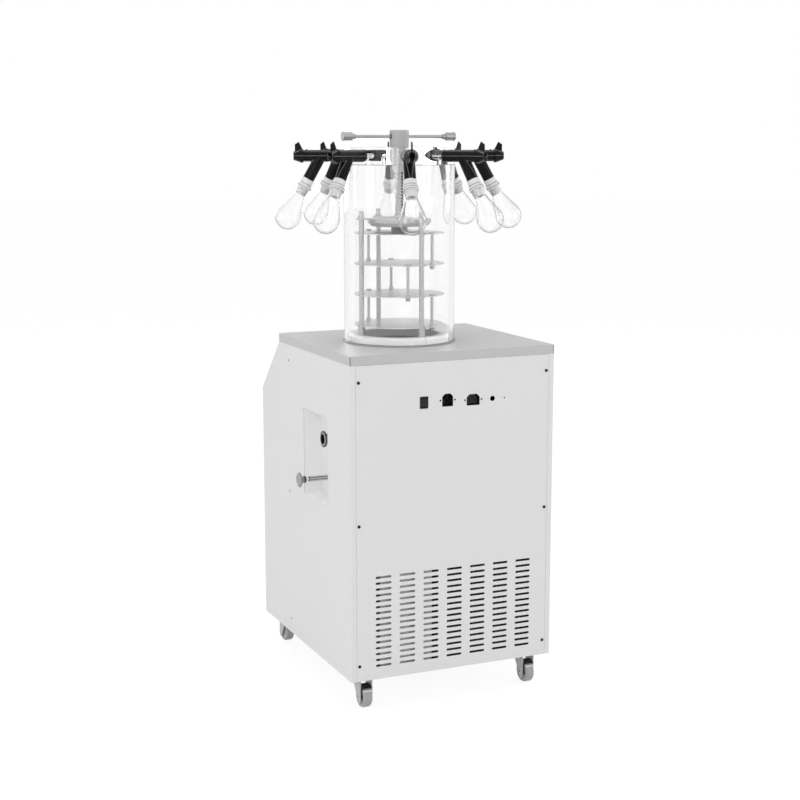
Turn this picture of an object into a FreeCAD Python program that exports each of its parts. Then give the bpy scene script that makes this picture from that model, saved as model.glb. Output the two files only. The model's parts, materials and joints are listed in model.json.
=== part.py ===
"""Floor-standing freeze dryer: cabinet, cold trap, drying chamber, shelf press and valve manifold.

Units are millimetres and +Z is up. The origin is on the floor, under the centre of the bounding box.
The console faces -Y, the louvred rear panel +Y, and the service recess +X.
"""
import FreeCAD
import Part
import math
import os

Vector = FreeCAD.Vector
UP = Vector(0, 0, 1)
ALONG_X = Vector(1, 0, 0)
ALONG_Y = Vector(0, 1, 0)

# ---------------------------------------------------------------- driving dimensions
# Cabinet
CABINET_WIDTH = 480.0
CABINET_DEPTH = 560.0
CONSOLE_RUN = 124.0            # depth, and height, of the 45 degree console
WORKTOP_HEIGHT = 772.0         # top of the worktop above the floor
WORKTOP_EDGE = 20.0            # folded edge of the worktop
UNDERSIDE = 70.0               # underside of the cabinet above the floor
SHEET = 1.5                    # cabinet sheet thickness
FLANGE = 12.0                  # visible width of the side panels' folded flanges
TAB = 16.0                     # hidden strip that the rear and front panels are screwed to
SEAM = 0.4                     # gap between neighbouring cabinet sheets
PAN_LIP = 22.0                 # upturned edge of the base pan

# Drying chamber, on the worktop
CHAMBER_FROM_RIGHT = 199.5
CHAMBER_FROM_REAR = 200.5
TUBE_R = 122.0
TUBE_WALL = 8.0
TUBE_SEAL = 3.0                # height of the lower seal
TUBE_SEAL_LIP = 3.0            # how far the lower seal stands out around the tube
LID_SEAL = 1.5
LID_UNDERSIDE = 388.0          # above the worktop
LID_THICKNESS = 36.5
COLLAR_CLEARANCE = 5.0         # inside the tube, all round the collar
COLLAR_WIDTH = 21.0
WELL_SET_BACK = 2.0            # from the collar's inner edge to the edge of the well
CUTOUT_SET_BACK = 3.0          # from the edge of the well out to the edge of the worktop's hole
COLLAR_HEIGHT = 18.0
COLLAR_BEVEL = 4.0

# Valves around the lid
VALVE_COUNT = 8
VALVE_FIRST_ANGLE = 27.75
VALVE_HEIGHT = 18.0            # port axis above the lid's underside
PORT_R = 5.5
PORT_DEPTH = 40.0
DROP_PORT_R = 4.5
DROP_PORT_FROM_RIM = 20.0
SPIGOT_DEPTH = 10.0
BODY_R = 12.5
BODY_LENGTH = 87.2             # from the lid's rim to the body's outer face
MOUTH_R = 11.0
MOUTH_LENGTH = 3.0
PLUG_R = 8.0
PLUG_DEPTH = 54.0
PLUG_HEAD_R = 15.0
PLUG_TIP_R = 9.0
PLUG_HEAD_LENGTH = 20.7
PLUG_RECESS_R = 6.5
PLUG_RIM = 4.0
WING_THICKNESS = 3.0
WING_ROOT = 7.0                # where the wing meets the head, above the plug's axis
WING_CREST = 30.0
WING_CREST_AT = 9.2            # from the head's inner face
WING_LENGTH = 17.7
BRANCH_FROM_RIM = 49.0
BRANCH_ANGLE = 29.0            # from the vertical
BRANCH_LENGTH = 57.0
BRANCH_BORE_R = 4.5
NOZZLE_R = 6.0
NOZZLE_LENGTH = 20.0

# Stoppers and flasks, measured along the branch
STOPPER_TUBE_R = 13.8
STOPPER_FLANGE_R = 16.4
STOPPER_FLANGE = 7.0
STOPPER_GROOVE = 1.2           # width and depth of the two rings cut round the stopper
STOPPER_GROOVE_GAP = 3.0       # between the flange and the groove above it
STOPPER_FLANGE_FROM_BRANCH = 15.3
STOPPER_PLUG = 16.0
FLASK_MOUTH_R = 14.6
FLASK_NECK_R = 12.8
FLASK_NECK = 18.0
FLASK_BULB_R = 28.7
FLASK_BULB_FROM_MOUTH = 70.0
FLASK_WALL = 1.6

# Press
HEAD_R = 21.0
HEAD_HEIGHT = 36.6
SHANK_R = 18.5
NOSE_BELOW_LID = 17.0          # the nose's tip, below the lid's underside
NOSE_R = 12.5
NOSE_LENGTH = 25.0             # from the tip up to the fluted shank
FLUTE_COUNT = 24
FLUTE_R = 1.2
BAR_R = 3.2
BAR_REACH = 133.5
BAR_ABOVE_LID = 22.8
KNOB_R = 8.7
KNOB_LENGTH = 19.5
KNOB_COLLAR_R = 5.5
KNOB_COLLAR = 6.5
KNOB_DISC_R = 9.5
KNOB_DISC = 4.0
SCREW_R = 11.0
SCREW_PITCH = 6.75
THREAD_DEPTH = 2.2
GROOVE_MOUTH = 0.74             # share of the pitch that the thread's groove takes at the crest
GROOVE_FLOOR = 0.36             # share of the pitch at the groove's floor
THREAD_ABOVE_BOSS = 2.0         # where the thread ends, above the bridge's boss
SCREW_IN_HEAD = 68.5           # length of screw hidden in the nose, shank and head when raised
FOOT_R = 17.5

# Shelf rack
SHELF_CLEARANCE = 14.0         # between the shelves' rims and the inside of the tube
SHELF_THICKNESS = 1.8
SHELF_PITCH = 67.0
LOWEST_SHELF = 37.5            # underside of the lowest shelf above the worktop
POST_SET_BACK = 6.6            # from a shelf's rim to the posts' axes
POST_ANGLES = (6.7, 96.7, 276.7)
POST_R = 5.25
POST_FOOT_R = 7.5
POST_ABOVE_PAD = 34.0          # from the pad's underside to the posts' tops
CAP_HEIGHT = 12.0
CAP_BASE_R = 6.5
CAP_TIP_R = 4.8
HANGER_SET_BACK = 8.0          # from a shelf's rim to the hanger rods' axes
HANGER_R = 3.25
HANGER_HEAD_R = 6.0
HANGER_HEAD = 3.0
HANGER_NUT = 8.0
OUTER_HANGERS = (115.7, 295.7)
MIDDLE_HANGERS = (77.7, 257.7)
PAD_R = 70.0
PAD_BEVEL = 8.5
PAD_CLEARANCE = 13.7           # between the raised top shelf and the bridge pad
PAD_THICKNESS = 16.0
BRIDGE_PLATE = 3.0
BRIDGE_ARM = 24.0
BRIDGE_BOSS_R = 17.5
BRIDGE_BOSS = 5.0
BUSH_R = 7.5
BUSH_LENGTH = 7.0

# Fits and clearances
RUNNING_FIT = 0.05             # radial, turning and sliding pairs
REST_GAP = 0.3                 # between faces that face each other across a moving joint
GUIDE_GAP = 0.6                # radial, shelf holes around rods and posts
SEAT_GAP = 0.1                 # radial, pushed-in pieces that do not turn

# Side recess with the vacuum port and the drain valve
RECESS_REAR = 131.5            # from the rear face to the nearer side of the opening
RECESS_WIDTH = 148.0
RECESS_TOP = 150.0             # below the worktop
RECESS_BELOW_DRAIN = 47.2      # from the drain's axis down to the recess floor
RECESS_DEPTH = 42.0
RECESS_LIP = 8.0
VACUUM_BELOW_TOP = 209.4
VACUUM_TUBE_R = 11.5
VACUUM_BORE_R = 9.5
VACUUM_FLANGE_R = 18.0
VACUUM_FLANGE = 3.5
VACUUM_SEAT_R = 12.2           # seat of the centring ring, in the flange's face
VACUUM_SEAT = 1.2
VACUUM_LIP_R = 14.0            # raised ring round the seat
VACUUM_LIP = 0.8
VACUUM_REACH = 26.0            # from the recess back wall to the flange face
DRAIN_BELOW_TRAP = 32.8
DRAIN_TOWARDS_FRONT = 20.0     # from the chamber axis
DRAIN_TUBE_R = 5.5
DRAIN_BORE_R = 2.6
DRAIN_REACH = 52.5
DRAIN_MOUTH_R = 4.5            # wider end of the bore, round the spindle
DRAIN_MOUTH = 4.0
DRAIN_ELBOW_R = 7.5
DRAIN_SPINDLE = 8.5            # bare length of spindle between the tube and the knob's neck
DRAIN_SPINDLE_INSIDE = 20.0
DRAIN_NECK_R = 7.5
DRAIN_NECK_WAIST_R = 6.3
DRAIN_NECK = 12.0
DRAIN_KNOB_R = 16.2
DRAIN_KNOB = 3.6
DRAIN_LOBES = 4

# Cold trap
TRAP_WALL = 1.5
TRAP_DEPTH = 268.0
TRAP_RIM = 14.0
TRAP_RIM_THICKNESS = 2.0
COIL_TUBE = 8.0                # height of the flat-sided tube wound round the trap
COIL_TURNS = 9
COIL_FIRST = 45.0              # centre of the first turn below the worktop
COIL_LAST = 11.0               # centre of the last turn above the trap's bottom
COIL_ROOM = 10.0               # between the trap's wall and the foam
COIL_BEDDING = 0.4             # how far the coil is set in the foam
PORT_COLLAR = 2.0              # how far the vacuum collar stands out around the tube
PORT_COLLAR_LENGTH = 6.0
INSULATION_OUTER_R = 138.0
INSULATION_BASE = 20.0

# Rear face, distances from the right edge and below the worktop
LOUVRE_COLUMNS = 7
LOUVRE_ROWS = 16
LOUVRE_FIRST_X = 74.4
LOUVRE_COLUMN_PITCH = 55.85
LOUVRE_FIRST_Z = 477.0
LOUVRE_ROW_PITCH = 13.0
LOUVRE_LENGTH = 36.0
LOUVRE_HEIGHT = 5.0
ROCKER_X = 168.1
ROCKER_Z = 107.2
ROCKER_WIDTH = 19.0
ROCKER_HEIGHT = 25.5
ROCKER_RIM = 2.0
ROCKER_SWING = 1.6             # room above and below the rocker for its tilt
INLET_X = 223.4
INLET_Z = 105.3
INLET_WIDTH = 25.5
INLET_HEIGHT = 27.5
OUTLET_X = 284.0
OUTLET_Z = 108.5
OUTLET_WIDTH = 30.9
OUTLET_HEIGHT = 24.2
SOCKET_CHAMFER = 6.5
SOCKET_DEPTH = 20.0
SOCKET_WALL = 2.0
SOCKET_EAR = 4.4               # socket screws, beyond the opening
EAR_SCREW_R = 1.5
EAR_SCREW_HEAD_R = 1.8
SOCKET_FLANGE = 2.5
BLANK_HOLE_X = 330.4
BLANK_HOLE_Z = 109.0
BLANK_HOLE_R = 5.7
PIN_HOLE_X = 359.3
PIN_HOLE_R = 1.6
REAR_SCREW_INSET = 18.5
SIDE_SCREW_FROM_REAR = 375.5
SCREW_ROWS = (56.0, 361.5, 668.5)
SCREW_HEAD_R = 3.4
SCREW_HEAD = 1.6
SIDE_SCREW_HEAD_R = 2.6

# Console screen
SCREEN_WIDTH = 214.0
SCREEN_LENGTH = 136.0
SCREEN_BEZEL = 10.0
SCREEN_THICKNESS = 9.0

# Casters
CASTER_INSET_X = 42.0
CASTER_INSET_Y = 50.0          # swivel axis from the front and rear edges
CASTER_TRAIL = 17.0
WHEEL_R = 25.0
WHEEL_WIDTH = 20.0
WHEEL_TREAD = 9.0
WHEEL_SHOULDER = 2.5
AXLE_R = 3.0
FORK_GAP = 2.0
FORK_PLATE = 2.5
FORK_FOOT_R = 7.0
FORK_FOOT_BEHIND = 5.5         # centre of the foot's rounding, behind and below the axle
FORK_FOOT_BELOW = 8.0
FORK_CROWN_FRONT = 14.0        # the plates' upper front corner, ahead of the swivel axis
FORK_CROWN = 3.0
FORK_TOP = 61.0
PIVOT_R = 5.0
RACE_R = 15.0
CASTER_PLATE = 2.5
CASTER_PLATE_LENGTH = 56.0
CASTER_PLATE_WIDTH = 46.0

# Machinery on the base pan
CONTROL_BOX_FROM_RIGHT = 71.5
CONTROL_BOX_WIDTH = 122.0
CONTROL_BOX_DEPTH = 78.0
CONTROL_BOX_HEIGHT = 236.0
CONTROL_BOX_FROM_REAR = 12.0
CONDENSER_FROM_LEFT = 38.0
CONDENSER_GAP = 16.5           # between the condenser and the control box
CONDENSER_DEPTH = 44.0
CONDENSER_FROM_REAR = 20.0
FAN_MARGIN = 16.0              # from the condenser's edge to the fan's frame, all round
FAN_DEPTH = 32.0
FAN_RIM = 8.0                  # narrowest part of the fan's frame
FAN_TIP_GAP = 4.0
FAN_HUB_R = 26.0
FAN_BLADES = 5
FAN_SHAFT_R = 4.0
COMPRESSOR_R = 76.0
COMPRESSOR_HEIGHT = 172.0
COMPRESSOR_FROM_LEFT = 150.0
COMPRESSOR_FROM_REAR = 270.0
COMPRESSOR_FOOT = 14.0
COMPRESSOR_SEAM = 60.0         # from the plate up to the weld round the shell
COMPRESSOR_SEAM_HEIGHT = 6.0
COMPRESSOR_SEAM_STEP = 4.0
COMPRESSOR_PLATE_HALF_X = 85.0
COMPRESSOR_PLATE_HALF_Y = 70.0
COMPRESSOR_PLATE = 4.0
COMPRESSOR_FOOT_INSET = 15.0
COMPRESSOR_FOOT_R = 11.0

# ---------------------------------------------------------------- worked-out places
TUBE_INNER_R = TUBE_R - TUBE_WALL
COLLAR_OUTER_R = TUBE_INNER_R - COLLAR_CLEARANCE
COLLAR_INNER_R = COLLAR_OUTER_R - COLLAR_WIDTH
WELL_R = COLLAR_INNER_R - WELL_SET_BACK
SHELF_R = TUBE_INNER_R - SHELF_CLEARANCE
POST_CIRCLE_R = SHELF_R - POST_SET_BACK
HANGER_CIRCLE_R = SHELF_R - HANGER_SET_BACK
INSULATION_INNER_R = WELL_R + TRAP_WALL + COIL_ROOM

BRANCH_ROOT_R = TUBE_R + BRANCH_FROM_RIM
SIN_BRANCH = math.sin(math.radians(BRANCH_ANGLE))
STOPPER_FLANGE_AT = BRANCH_LENGTH + STOPPER_FLANGE_FROM_BRANCH
FLASK_MOUTH_AT = STOPPER_FLANGE_AT + STOPPER_FLANGE + REST_GAP
FLASK_BULB_AT = FLASK_MOUTH_AT + FLASK_BULB_FROM_MOUTH
VALVE_ANGLES = [VALVE_FIRST_ANGLE + 360.0 / VALVE_COUNT * k for k in range(VALVE_COUNT)]

BULB_CIRCLE_R = BRANCH_ROOT_R + FLASK_BULB_AT * SIN_BRANCH
FLASK_REACH_X = max(BULB_CIRCLE_R * math.cos(math.radians(a)) for a in VALVE_ANGLES) + FLASK_BULB_R
FLASK_REACH_Y = max(BULB_CIRCLE_R * math.sin(math.radians(a)) for a in VALVE_ANGLES) + FLASK_BULB_R
RIGHT_REACH = max(FLASK_REACH_X, CHAMBER_FROM_RIGHT)
REAR_REACH = max(FLASK_REACH_Y, CHAMBER_FROM_REAR)

# The chamber axis, set so that the bounding box is centred on the origin
CHAMBER_X = (CABINET_WIDTH - CHAMBER_FROM_RIGHT - RIGHT_REACH) / 2
CHAMBER_Y = (CABINET_DEPTH - CHAMBER_FROM_REAR - REAR_REACH) / 2
RIGHT = CHAMBER_X + CHAMBER_FROM_RIGHT
LEFT = RIGHT - CABINET_WIDTH
REAR = CHAMBER_Y + CHAMBER_FROM_REAR
FRONT = REAR - CABINET_DEPTH
CONSOLE_BACK = FRONT + CONSOLE_RUN
TOP = WORKTOP_HEIGHT
BODY_TOP = TOP - WORKTOP_EDGE
CONSOLE_FOOT = BODY_TOP - CONSOLE_RUN
PAN_FLOOR = UNDERSIDE + SHEET  # underside of the base pan, on the panels' bottom flanges

LID_Z = TOP + LID_UNDERSIDE
LID_TOP = LID_Z + LID_THICKNESS
VALVE_Z = LID_Z + VALVE_HEIGHT
BODY_END_R = TUBE_R + BODY_LENGTH
TUBE_TOP = LID_Z - LID_SEAL
SHELF_Z = [TOP + LOWEST_SHELF + SHELF_PITCH * k for k in (3, 2, 1, 0)]
FOOT_BOTTOM = SHELF_Z[0] + SHELF_THICKNESS
PAD_Z = FOOT_BOTTOM + PAD_CLEARANCE
POST_TOP_Z = PAD_Z + POST_ABOVE_PAD
FOOT_TOP = PAD_Z - 1.0
RECESS_BACK = RIGHT - RECESS_DEPTH
RECESS_Y1 = REAR - RECESS_REAR
RECESS_Y0 = RECESS_Y1 - RECESS_WIDTH
TRAP_BOTTOM = TOP - TRAP_DEPTH
DRAIN_Y = CHAMBER_Y - DRAIN_TOWARDS_FRONT
DRAIN_Z = TRAP_BOTTOM - DRAIN_BELOW_TRAP
VACUUM_Z = TOP - VACUUM_BELOW_TOP
RECESS_Z1 = TOP - RECESS_TOP
RECESS_Z0 = DRAIN_Z - RECESS_BELOW_DRAIN
MACHINE_WIDTH = CABINET_WIDTH - CONDENSER_FROM_LEFT - CONTROL_BOX_FROM_RIGHT
CONDENSER_WIDTH = MACHINE_WIDTH - CONDENSER_GAP - CONTROL_BOX_WIDTH
FAN_SIZE = CONDENSER_WIDTH - 2 * FAN_MARGIN
FAN_DUCT_R = FAN_SIZE / 2 - FAN_RIM
FAN_TIP_R = FAN_DUCT_R - FAN_TIP_GAP


# ---------------------------------------------------------------- small helpers
def box(x0, x1, y0, y1, z0, z1):
    """A block between opposite corners."""
    return Part.makeBox(x1 - x0, y1 - y0, z1 - z0, Vector(x0, y0, z0))


def rod(radius, z0, z1, x=0.0, y=0.0):
    """An upright cylinder."""
    return Part.makeCylinder(radius, z1 - z0, Vector(x, y, z0), UP)


def rod_x(radius, x0, x1, y, z):
    """A cylinder along X."""
    return Part.makeCylinder(radius, x1 - x0, Vector(x0, y, z), ALONG_X)


def rod_y(radius, y0, y1, x, z):
    """A cylinder along Y."""
    return Part.makeCylinder(radius, y1 - y0, Vector(x, y0, z), ALONG_Y)


def ring(inner, outer, z0, z1):
    """An upright tube on the Z axis."""
    return rod(outer, z0, z1).cut(rod(inner, z0 - 1, z1 + 1))


def polygon_face(points):
    """A flat face from a closed run of points."""
    return Part.Face(Part.makePolygon(list(points) + [points[0]]))


def turned(profile):
    """A solid of revolution about Z from (radius, z) points."""
    return polygon_face([Vector(r, 0, z) for r, z in profile]).revolve(Vector(0, 0, 0), UP, 360)


def turned_x(profile):
    """A solid of revolution about the X axis from (x, radius) points."""
    return polygon_face([Vector(x, 0, r) for x, r in profile]).revolve(Vector(0, 0, 0), ALONG_X, 360)


def fuse(shapes):
    """One solid from shapes that meet."""
    joined = shapes[0].multiFuse(list(shapes[1:]))
    return joined.removeSplitter()


def moved(shape, x=0.0, y=0.0, z=0.0):
    """A copy shifted by x, y, z."""
    copy = shape.copy()
    copy.translate(Vector(x, y, z))
    return copy


def turned_by(shape, angle, axis=UP, centre=Vector(0, 0, 0)):
    """A copy turned about an axis."""
    copy = shape.copy()
    copy.rotate(centre, axis, angle)
    return copy


def on_chamber(shape):
    """Chamber pieces are drawn about the Z axis and moved to the chamber axis."""
    return moved(shape, CHAMBER_X, CHAMBER_Y)


def around(angle, radius):
    """The point at an angle and radius from the Z axis."""
    return radius * math.cos(math.radians(angle)), radius * math.sin(math.radians(angle))


def save(name, shape):
    """Write one node's STEP file."""
    shape.exportStep("parts/" + name + ".step")
    total.append(shape)
    names.append(name)


# ---------------------------------------------------------------- cabinet
def side_outline(x, inset=0.0):
    """The side of the cabinet: upright rear, flat top, 45 degree console, upright front."""
    slope = inset * math.tan(math.radians(22.5))
    return polygon_face([
        Vector(x, REAR - inset, UNDERSIDE + inset),
        Vector(x, REAR - inset, BODY_TOP - inset),
        Vector(x, CONSOLE_BACK + slope, BODY_TOP - inset),
        Vector(x, FRONT + inset, CONSOLE_FOOT - slope),
        Vector(x, FRONT + inset, UNDERSIDE + inset),
    ])


def side_flanges():
    """The flanges folded in from the right side's edges, and the strips stepped back behind them."""
    shell = side_outline(RIGHT - FLANGE).extrude(Vector(FLANGE - SHEET, 0, 0))
    hollow = side_outline(RIGHT - FLANGE - 1, SHEET).extrude(Vector(FLANGE + 1, 0, 0))
    flanges = shell.cut(hollow)
    back0 = RIGHT - FLANGE - TAB
    back1 = RIGHT - FLANGE + SHEET
    strip_outer = side_outline(back0, SHEET).extrude(Vector(back1 - back0, 0, 0))
    strip_inner = side_outline(back0 - 1, 2 * SHEET).extrude(Vector(back1 - back0 + 2, 0, 0))
    below = box(back0 - 1, back1 + 1, FRONT - 1, REAR + 1, UNDERSIDE - 1, PAN_FLOOR + PAN_LIP + 2 * SEAM)
    above = box(back0 - 1, back1 + 1, CONSOLE_BACK, REAR + 1, BODY_TOP - 2 * SHEET - 4, BODY_TOP + 1)
    strips = strip_outer.cut(strip_inner).cut(below).cut(above)
    return fuse([flanges, strips])


def side_panel(mirror):
    """A side sheet with its folded flanges. The right one has the opening of the recess."""
    sheet = side_outline(RIGHT - SHEET).extrude(Vector(SHEET, 0, 0))
    panel = fuse([sheet, side_flanges()])
    screws = [rod_x(SIDE_SCREW_HEAD_R + SEAT_GAP, RIGHT - SHEET - 1, RIGHT + 1, REAR - SIDE_SCREW_FROM_REAR,
                    TOP - drop) for drop in SCREW_ROWS]
    panel = panel.cut(Part.makeCompound(screws))
    if mirror:
        return panel.mirror(Vector((LEFT + RIGHT) / 2, 0, 0), ALONG_X)
    return panel.cut(box(RIGHT - SHEET - 1, RIGHT + 1, RECESS_Y0, RECESS_Y1, RECESS_Z0, RECESS_Z1))


def recess_box():
    """The folded box behind the side opening, with a lip against the inside of the side panel."""
    outer = box(RECESS_BACK - SHEET, RIGHT - SHEET, RECESS_Y0 - SHEET, RECESS_Y1 + SHEET,
                RECESS_Z0 - SHEET, RECESS_Z1 + SHEET)
    lip = box(RIGHT - 2 * SHEET, RIGHT - SHEET, RECESS_Y0 - RECESS_LIP, RECESS_Y1 + RECESS_LIP,
              RECESS_Z0 - RECESS_LIP, RECESS_Z1 + RECESS_LIP)
    inside = box(RECESS_BACK, RIGHT, RECESS_Y0, RECESS_Y1, RECESS_Z0, RECESS_Z1)
    shape = fuse([outer, lip]).cut(inside)
    vacuum_hole = rod_x(VACUUM_TUBE_R + REST_GAP, RECESS_BACK - 5, RECESS_BACK + 5, CHAMBER_Y, VACUUM_Z)
    drain_hole = rod_x(DRAIN_TUBE_R + REST_GAP, RECESS_BACK - 5, RECESS_BACK + 5, DRAIN_Y, DRAIN_Z)
    return shape.cut(vacuum_hole).cut(drain_hole)


def worktop():
    """A pan folded down on four sides, with a hole over the cold trap and open corner seams."""
    sheet = box(LEFT, RIGHT, CONSOLE_BACK, REAR, TOP - SHEET, TOP)
    skirt = box(LEFT, RIGHT, CONSOLE_BACK, REAR, BODY_TOP, TOP).cut(
        box(LEFT + SHEET, RIGHT - SHEET, CONSOLE_BACK + SHEET, REAR - SHEET, BODY_TOP - 1, TOP + 1))
    seams = []
    for x in (LEFT, RIGHT):
        for y in (CONSOLE_BACK, REAR):
            seams.append(box(x - SHEET - SEAM, x + SHEET + SEAM, y - SEAM, y + SEAM,
                             BODY_TOP - 1, TOP - SHEET - SEAM))
    lip = box(LEFT + SHEET, RIGHT - SHEET, CONSOLE_BACK + SHEET, REAR - SHEET, BODY_TOP, BODY_TOP + SHEET)
    lip = lip.cut(box(LEFT + FLANGE, RIGHT - FLANGE, CONSOLE_BACK + FLANGE, REAR - FLANGE,
                      BODY_TOP - 1, BODY_TOP + SHEET + 1))
    pan = fuse([sheet, skirt, lip])
    return pan.cut(rod(WELL_R + CUTOUT_SET_BACK, TOP - 5, TOP + 5, CHAMBER_X, CHAMBER_Y)).cut(
        Part.makeCompound(seams))


def slot(x, z):
    """A round-ended louvre slot through the rear panel."""
    half = (LOUVRE_LENGTH - LOUVRE_HEIGHT) / 2
    r = LOUVRE_HEIGHT / 2
    upper_left = Vector(x - half, 0, z + r)
    upper_right = Vector(x + half, 0, z + r)
    lower_right = Vector(x + half, 0, z - r)
    lower_left = Vector(x - half, 0, z - r)
    face = Part.Face(Part.Wire([
        Part.LineSegment(upper_left, upper_right).toShape(),
        Part.Arc(upper_right, Vector(x + half + r, 0, z), lower_right).toShape(),
        Part.LineSegment(lower_right, lower_left).toShape(),
        Part.Arc(lower_left, Vector(x - half - r, 0, z), upper_left).toShape()]))
    face.translate(Vector(0, REAR - SHEET - 1, 0))
    return face.extrude(Vector(0, SHEET + 2, 0))


def chamfered(x, z, width, height, corner, y0, y1, grow=0.0):
    """A block along Y with its two upper corners cut off, as mains connectors have."""
    half = width / 2 + grow
    tall = height / 2 + grow
    points = [(-half, -tall), (half, -tall), (half, tall - corner), (half - corner, tall),
              (-half + corner, tall), (-half, tall - corner)]
    return polygon_face([Vector(x + px, y0, z + pz) for px, pz in points]).extrude(Vector(0, y1 - y0, 0))


def rear_panel():
    """The rear sheet between the side flanges: louvres, connector openings and screw holes."""
    x0 = LEFT + FLANGE + SEAM
    x1 = RIGHT - FLANGE - SEAM
    sheet = box(x0, x1, REAR - SHEET, REAR, UNDERSIDE, BODY_TOP - SEAM)
    foot = box(x0, x1, REAR - FLANGE, REAR, UNDERSIDE, PAN_FLOOR)
    panel = fuse([sheet, foot])
    holes = []
    for column in range(LOUVRE_COLUMNS):
        for row in range(LOUVRE_ROWS):
            holes.append(slot(RIGHT - LOUVRE_FIRST_X - LOUVRE_COLUMN_PITCH * column,
                              TOP - LOUVRE_FIRST_Z - LOUVRE_ROW_PITCH * row))
    y0 = REAR - SHEET - 1
    y1 = REAR + 1
    x = RIGHT - ROCKER_X
    z = TOP - ROCKER_Z
    holes.append(box(x - ROCKER_WIDTH / 2, x + ROCKER_WIDTH / 2, y0, y1,
                     z - ROCKER_HEIGHT / 2, z + ROCKER_HEIGHT / 2))
    for at_x, at_z, width, height in (
            (INLET_X, INLET_Z, INLET_WIDTH, INLET_HEIGHT), (OUTLET_X, OUTLET_Z, OUTLET_WIDTH, OUTLET_HEIGHT)):
        x = RIGHT - at_x
        z = TOP - at_z
        holes.append(chamfered(x, z, width, height, SOCKET_CHAMFER, y0, y1))
        for side in (-1, 1):
            holes.append(rod_y(EAR_SCREW_R + SEAT_GAP, y0, y1, x + side * (width / 2 + SOCKET_EAR), z))
    holes.append(rod_y(BLANK_HOLE_R, y0, y1, RIGHT - BLANK_HOLE_X, TOP - BLANK_HOLE_Z))
    holes.append(rod_y(PIN_HOLE_R, y0, y1, RIGHT - PIN_HOLE_X, TOP - BLANK_HOLE_Z))
    return panel.cut(Part.makeCompound(holes))


def console_frame(u, v):
    """A point on the console: u across from the middle, v up the slope from its middle."""
    y = (FRONT + CONSOLE_BACK) / 2 + v * math.cos(math.pi / 4)
    z = (CONSOLE_FOOT + BODY_TOP) / 2 + v * math.sin(math.pi / 4)
    return Vector((LEFT + RIGHT) / 2 + u, y, z)


def console_block(width, length, out, into):
    """A block on the console slope, from out above the surface to into below it."""
    normal = Vector(0, -math.sin(math.pi / 4), math.cos(math.pi / 4))
    corners = [console_frame(u * width / 2, v * length / 2) for u, v in ((-1, -1), (1, -1), (1, 1), (-1, 1))]
    start = [c + normal * out for c in corners]
    return polygon_face(start).extrude(normal * (-out - into))


def front_panel():
    """The front and console in one folded sheet, between the side flanges, with the screen opening."""
    x0 = LEFT + FLANGE + SEAM
    x1 = RIGHT - FLANGE - SEAM
    bend = SHEET * math.tan(math.radians(22.5))
    outline = [
        (FRONT, UNDERSIDE), (FRONT, CONSOLE_FOOT), (CONSOLE_BACK - SEAM, BODY_TOP - SEAM),
        (CONSOLE_BACK - SEAM, BODY_TOP - SEAM - SHEET * math.sqrt(2)), (FRONT + SHEET, CONSOLE_FOOT - bend),
        (FRONT + SHEET, PAN_FLOOR), (FRONT + FLANGE, PAN_FLOOR), (FRONT + FLANGE, UNDERSIDE),
    ]
    panel = polygon_face([Vector(x0, y, z) for y, z in outline]).extrude(Vector(x1 - x0, 0, 0))
    return panel.cut(console_block(SCREEN_WIDTH, SCREEN_LENGTH, 5, 5))


def touch_screen():
    """The screen module: a body through the console opening and a bezel in front of it."""
    body = console_block(SCREEN_WIDTH - 2 * SEAM, SCREEN_LENGTH - 2 * SEAM, 0, SCREEN_THICKNESS)
    bezel = console_block(SCREEN_WIDTH + SCREEN_BEZEL, SCREEN_LENGTH + SCREEN_BEZEL, 2.5, 0)
    glass = console_block(SCREEN_WIDTH - SCREEN_BEZEL, SCREEN_LENGTH - SCREEN_BEZEL, 5, -1.5)
    return fuse([body, bezel]).cut(glass)


def base_pan():
    """The floor tray on the bottom flanges, with the four caster plates and their ball races."""
    x0 = LEFT + SHEET
    x1 = RIGHT - SHEET
    y0 = FRONT + 2 * SHEET + SEAM
    y1 = REAR - 2 * SHEET - SEAM
    tray = box(x0, x1, y0, y1, PAN_FLOOR, PAN_FLOOR + PAN_LIP).cut(
        box(x0 + SHEET, x1 - SHEET, y0 + SHEET, y1 - SHEET, PAN_FLOOR + SHEET, PAN_FLOOR + PAN_LIP + 1))
    pieces = [tray]
    bores = []
    for x, y, _ in caster_places():
        pieces.append(box(x - CASTER_PLATE_WIDTH / 2, x + CASTER_PLATE_WIDTH / 2, y - CASTER_PLATE_LENGTH / 2,
                          y + CASTER_PLATE_LENGTH / 2, PAN_FLOOR - CASTER_PLATE, PAN_FLOOR))
        pieces.append(rod(RACE_R, FORK_TOP + REST_GAP, PAN_FLOOR - CASTER_PLATE, x, y))
        bores.append(rod(PIVOT_R + RUNNING_FIT, FORK_TOP - 1, PAN_FLOOR - SHEET, x, y))
    return fuse(pieces).cut(Part.makeCompound(bores))


def panel_screws():
    """Pan-head screws on the rear panel and flush ones in the side panels."""
    screws = []
    for x in (RIGHT - REAR_SCREW_INSET, LEFT + REAR_SCREW_INSET):
        for drop in SCREW_ROWS:
            head = rod_y(SCREW_HEAD_R, REAR, REAR + SCREW_HEAD, x, TOP - drop)
            head = head.makeFillet(0.7, [head.Edges[0]]) if head.Edges[0].Length > 1 else head
            cross = fuse([box(x - 2, x + 2, REAR + 0.7, REAR + 3, TOP - drop - 0.4, TOP - drop + 0.4),
                          box(x - 0.4, x + 0.4, REAR + 0.7, REAR + 3, TOP - drop - 2, TOP - drop + 2)])
            screws.append(head.cut(cross))
    y = REAR - SIDE_SCREW_FROM_REAR
    for x, inward in ((RIGHT, -1), (LEFT, 1)):
        for drop in SCREW_ROWS:
            near = min(x, x + inward * 4)
            screws.append(rod_x(SIDE_SCREW_HEAD_R, near, near + 4, y, TOP - drop))
    return Part.makeCompound(screws)


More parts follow.
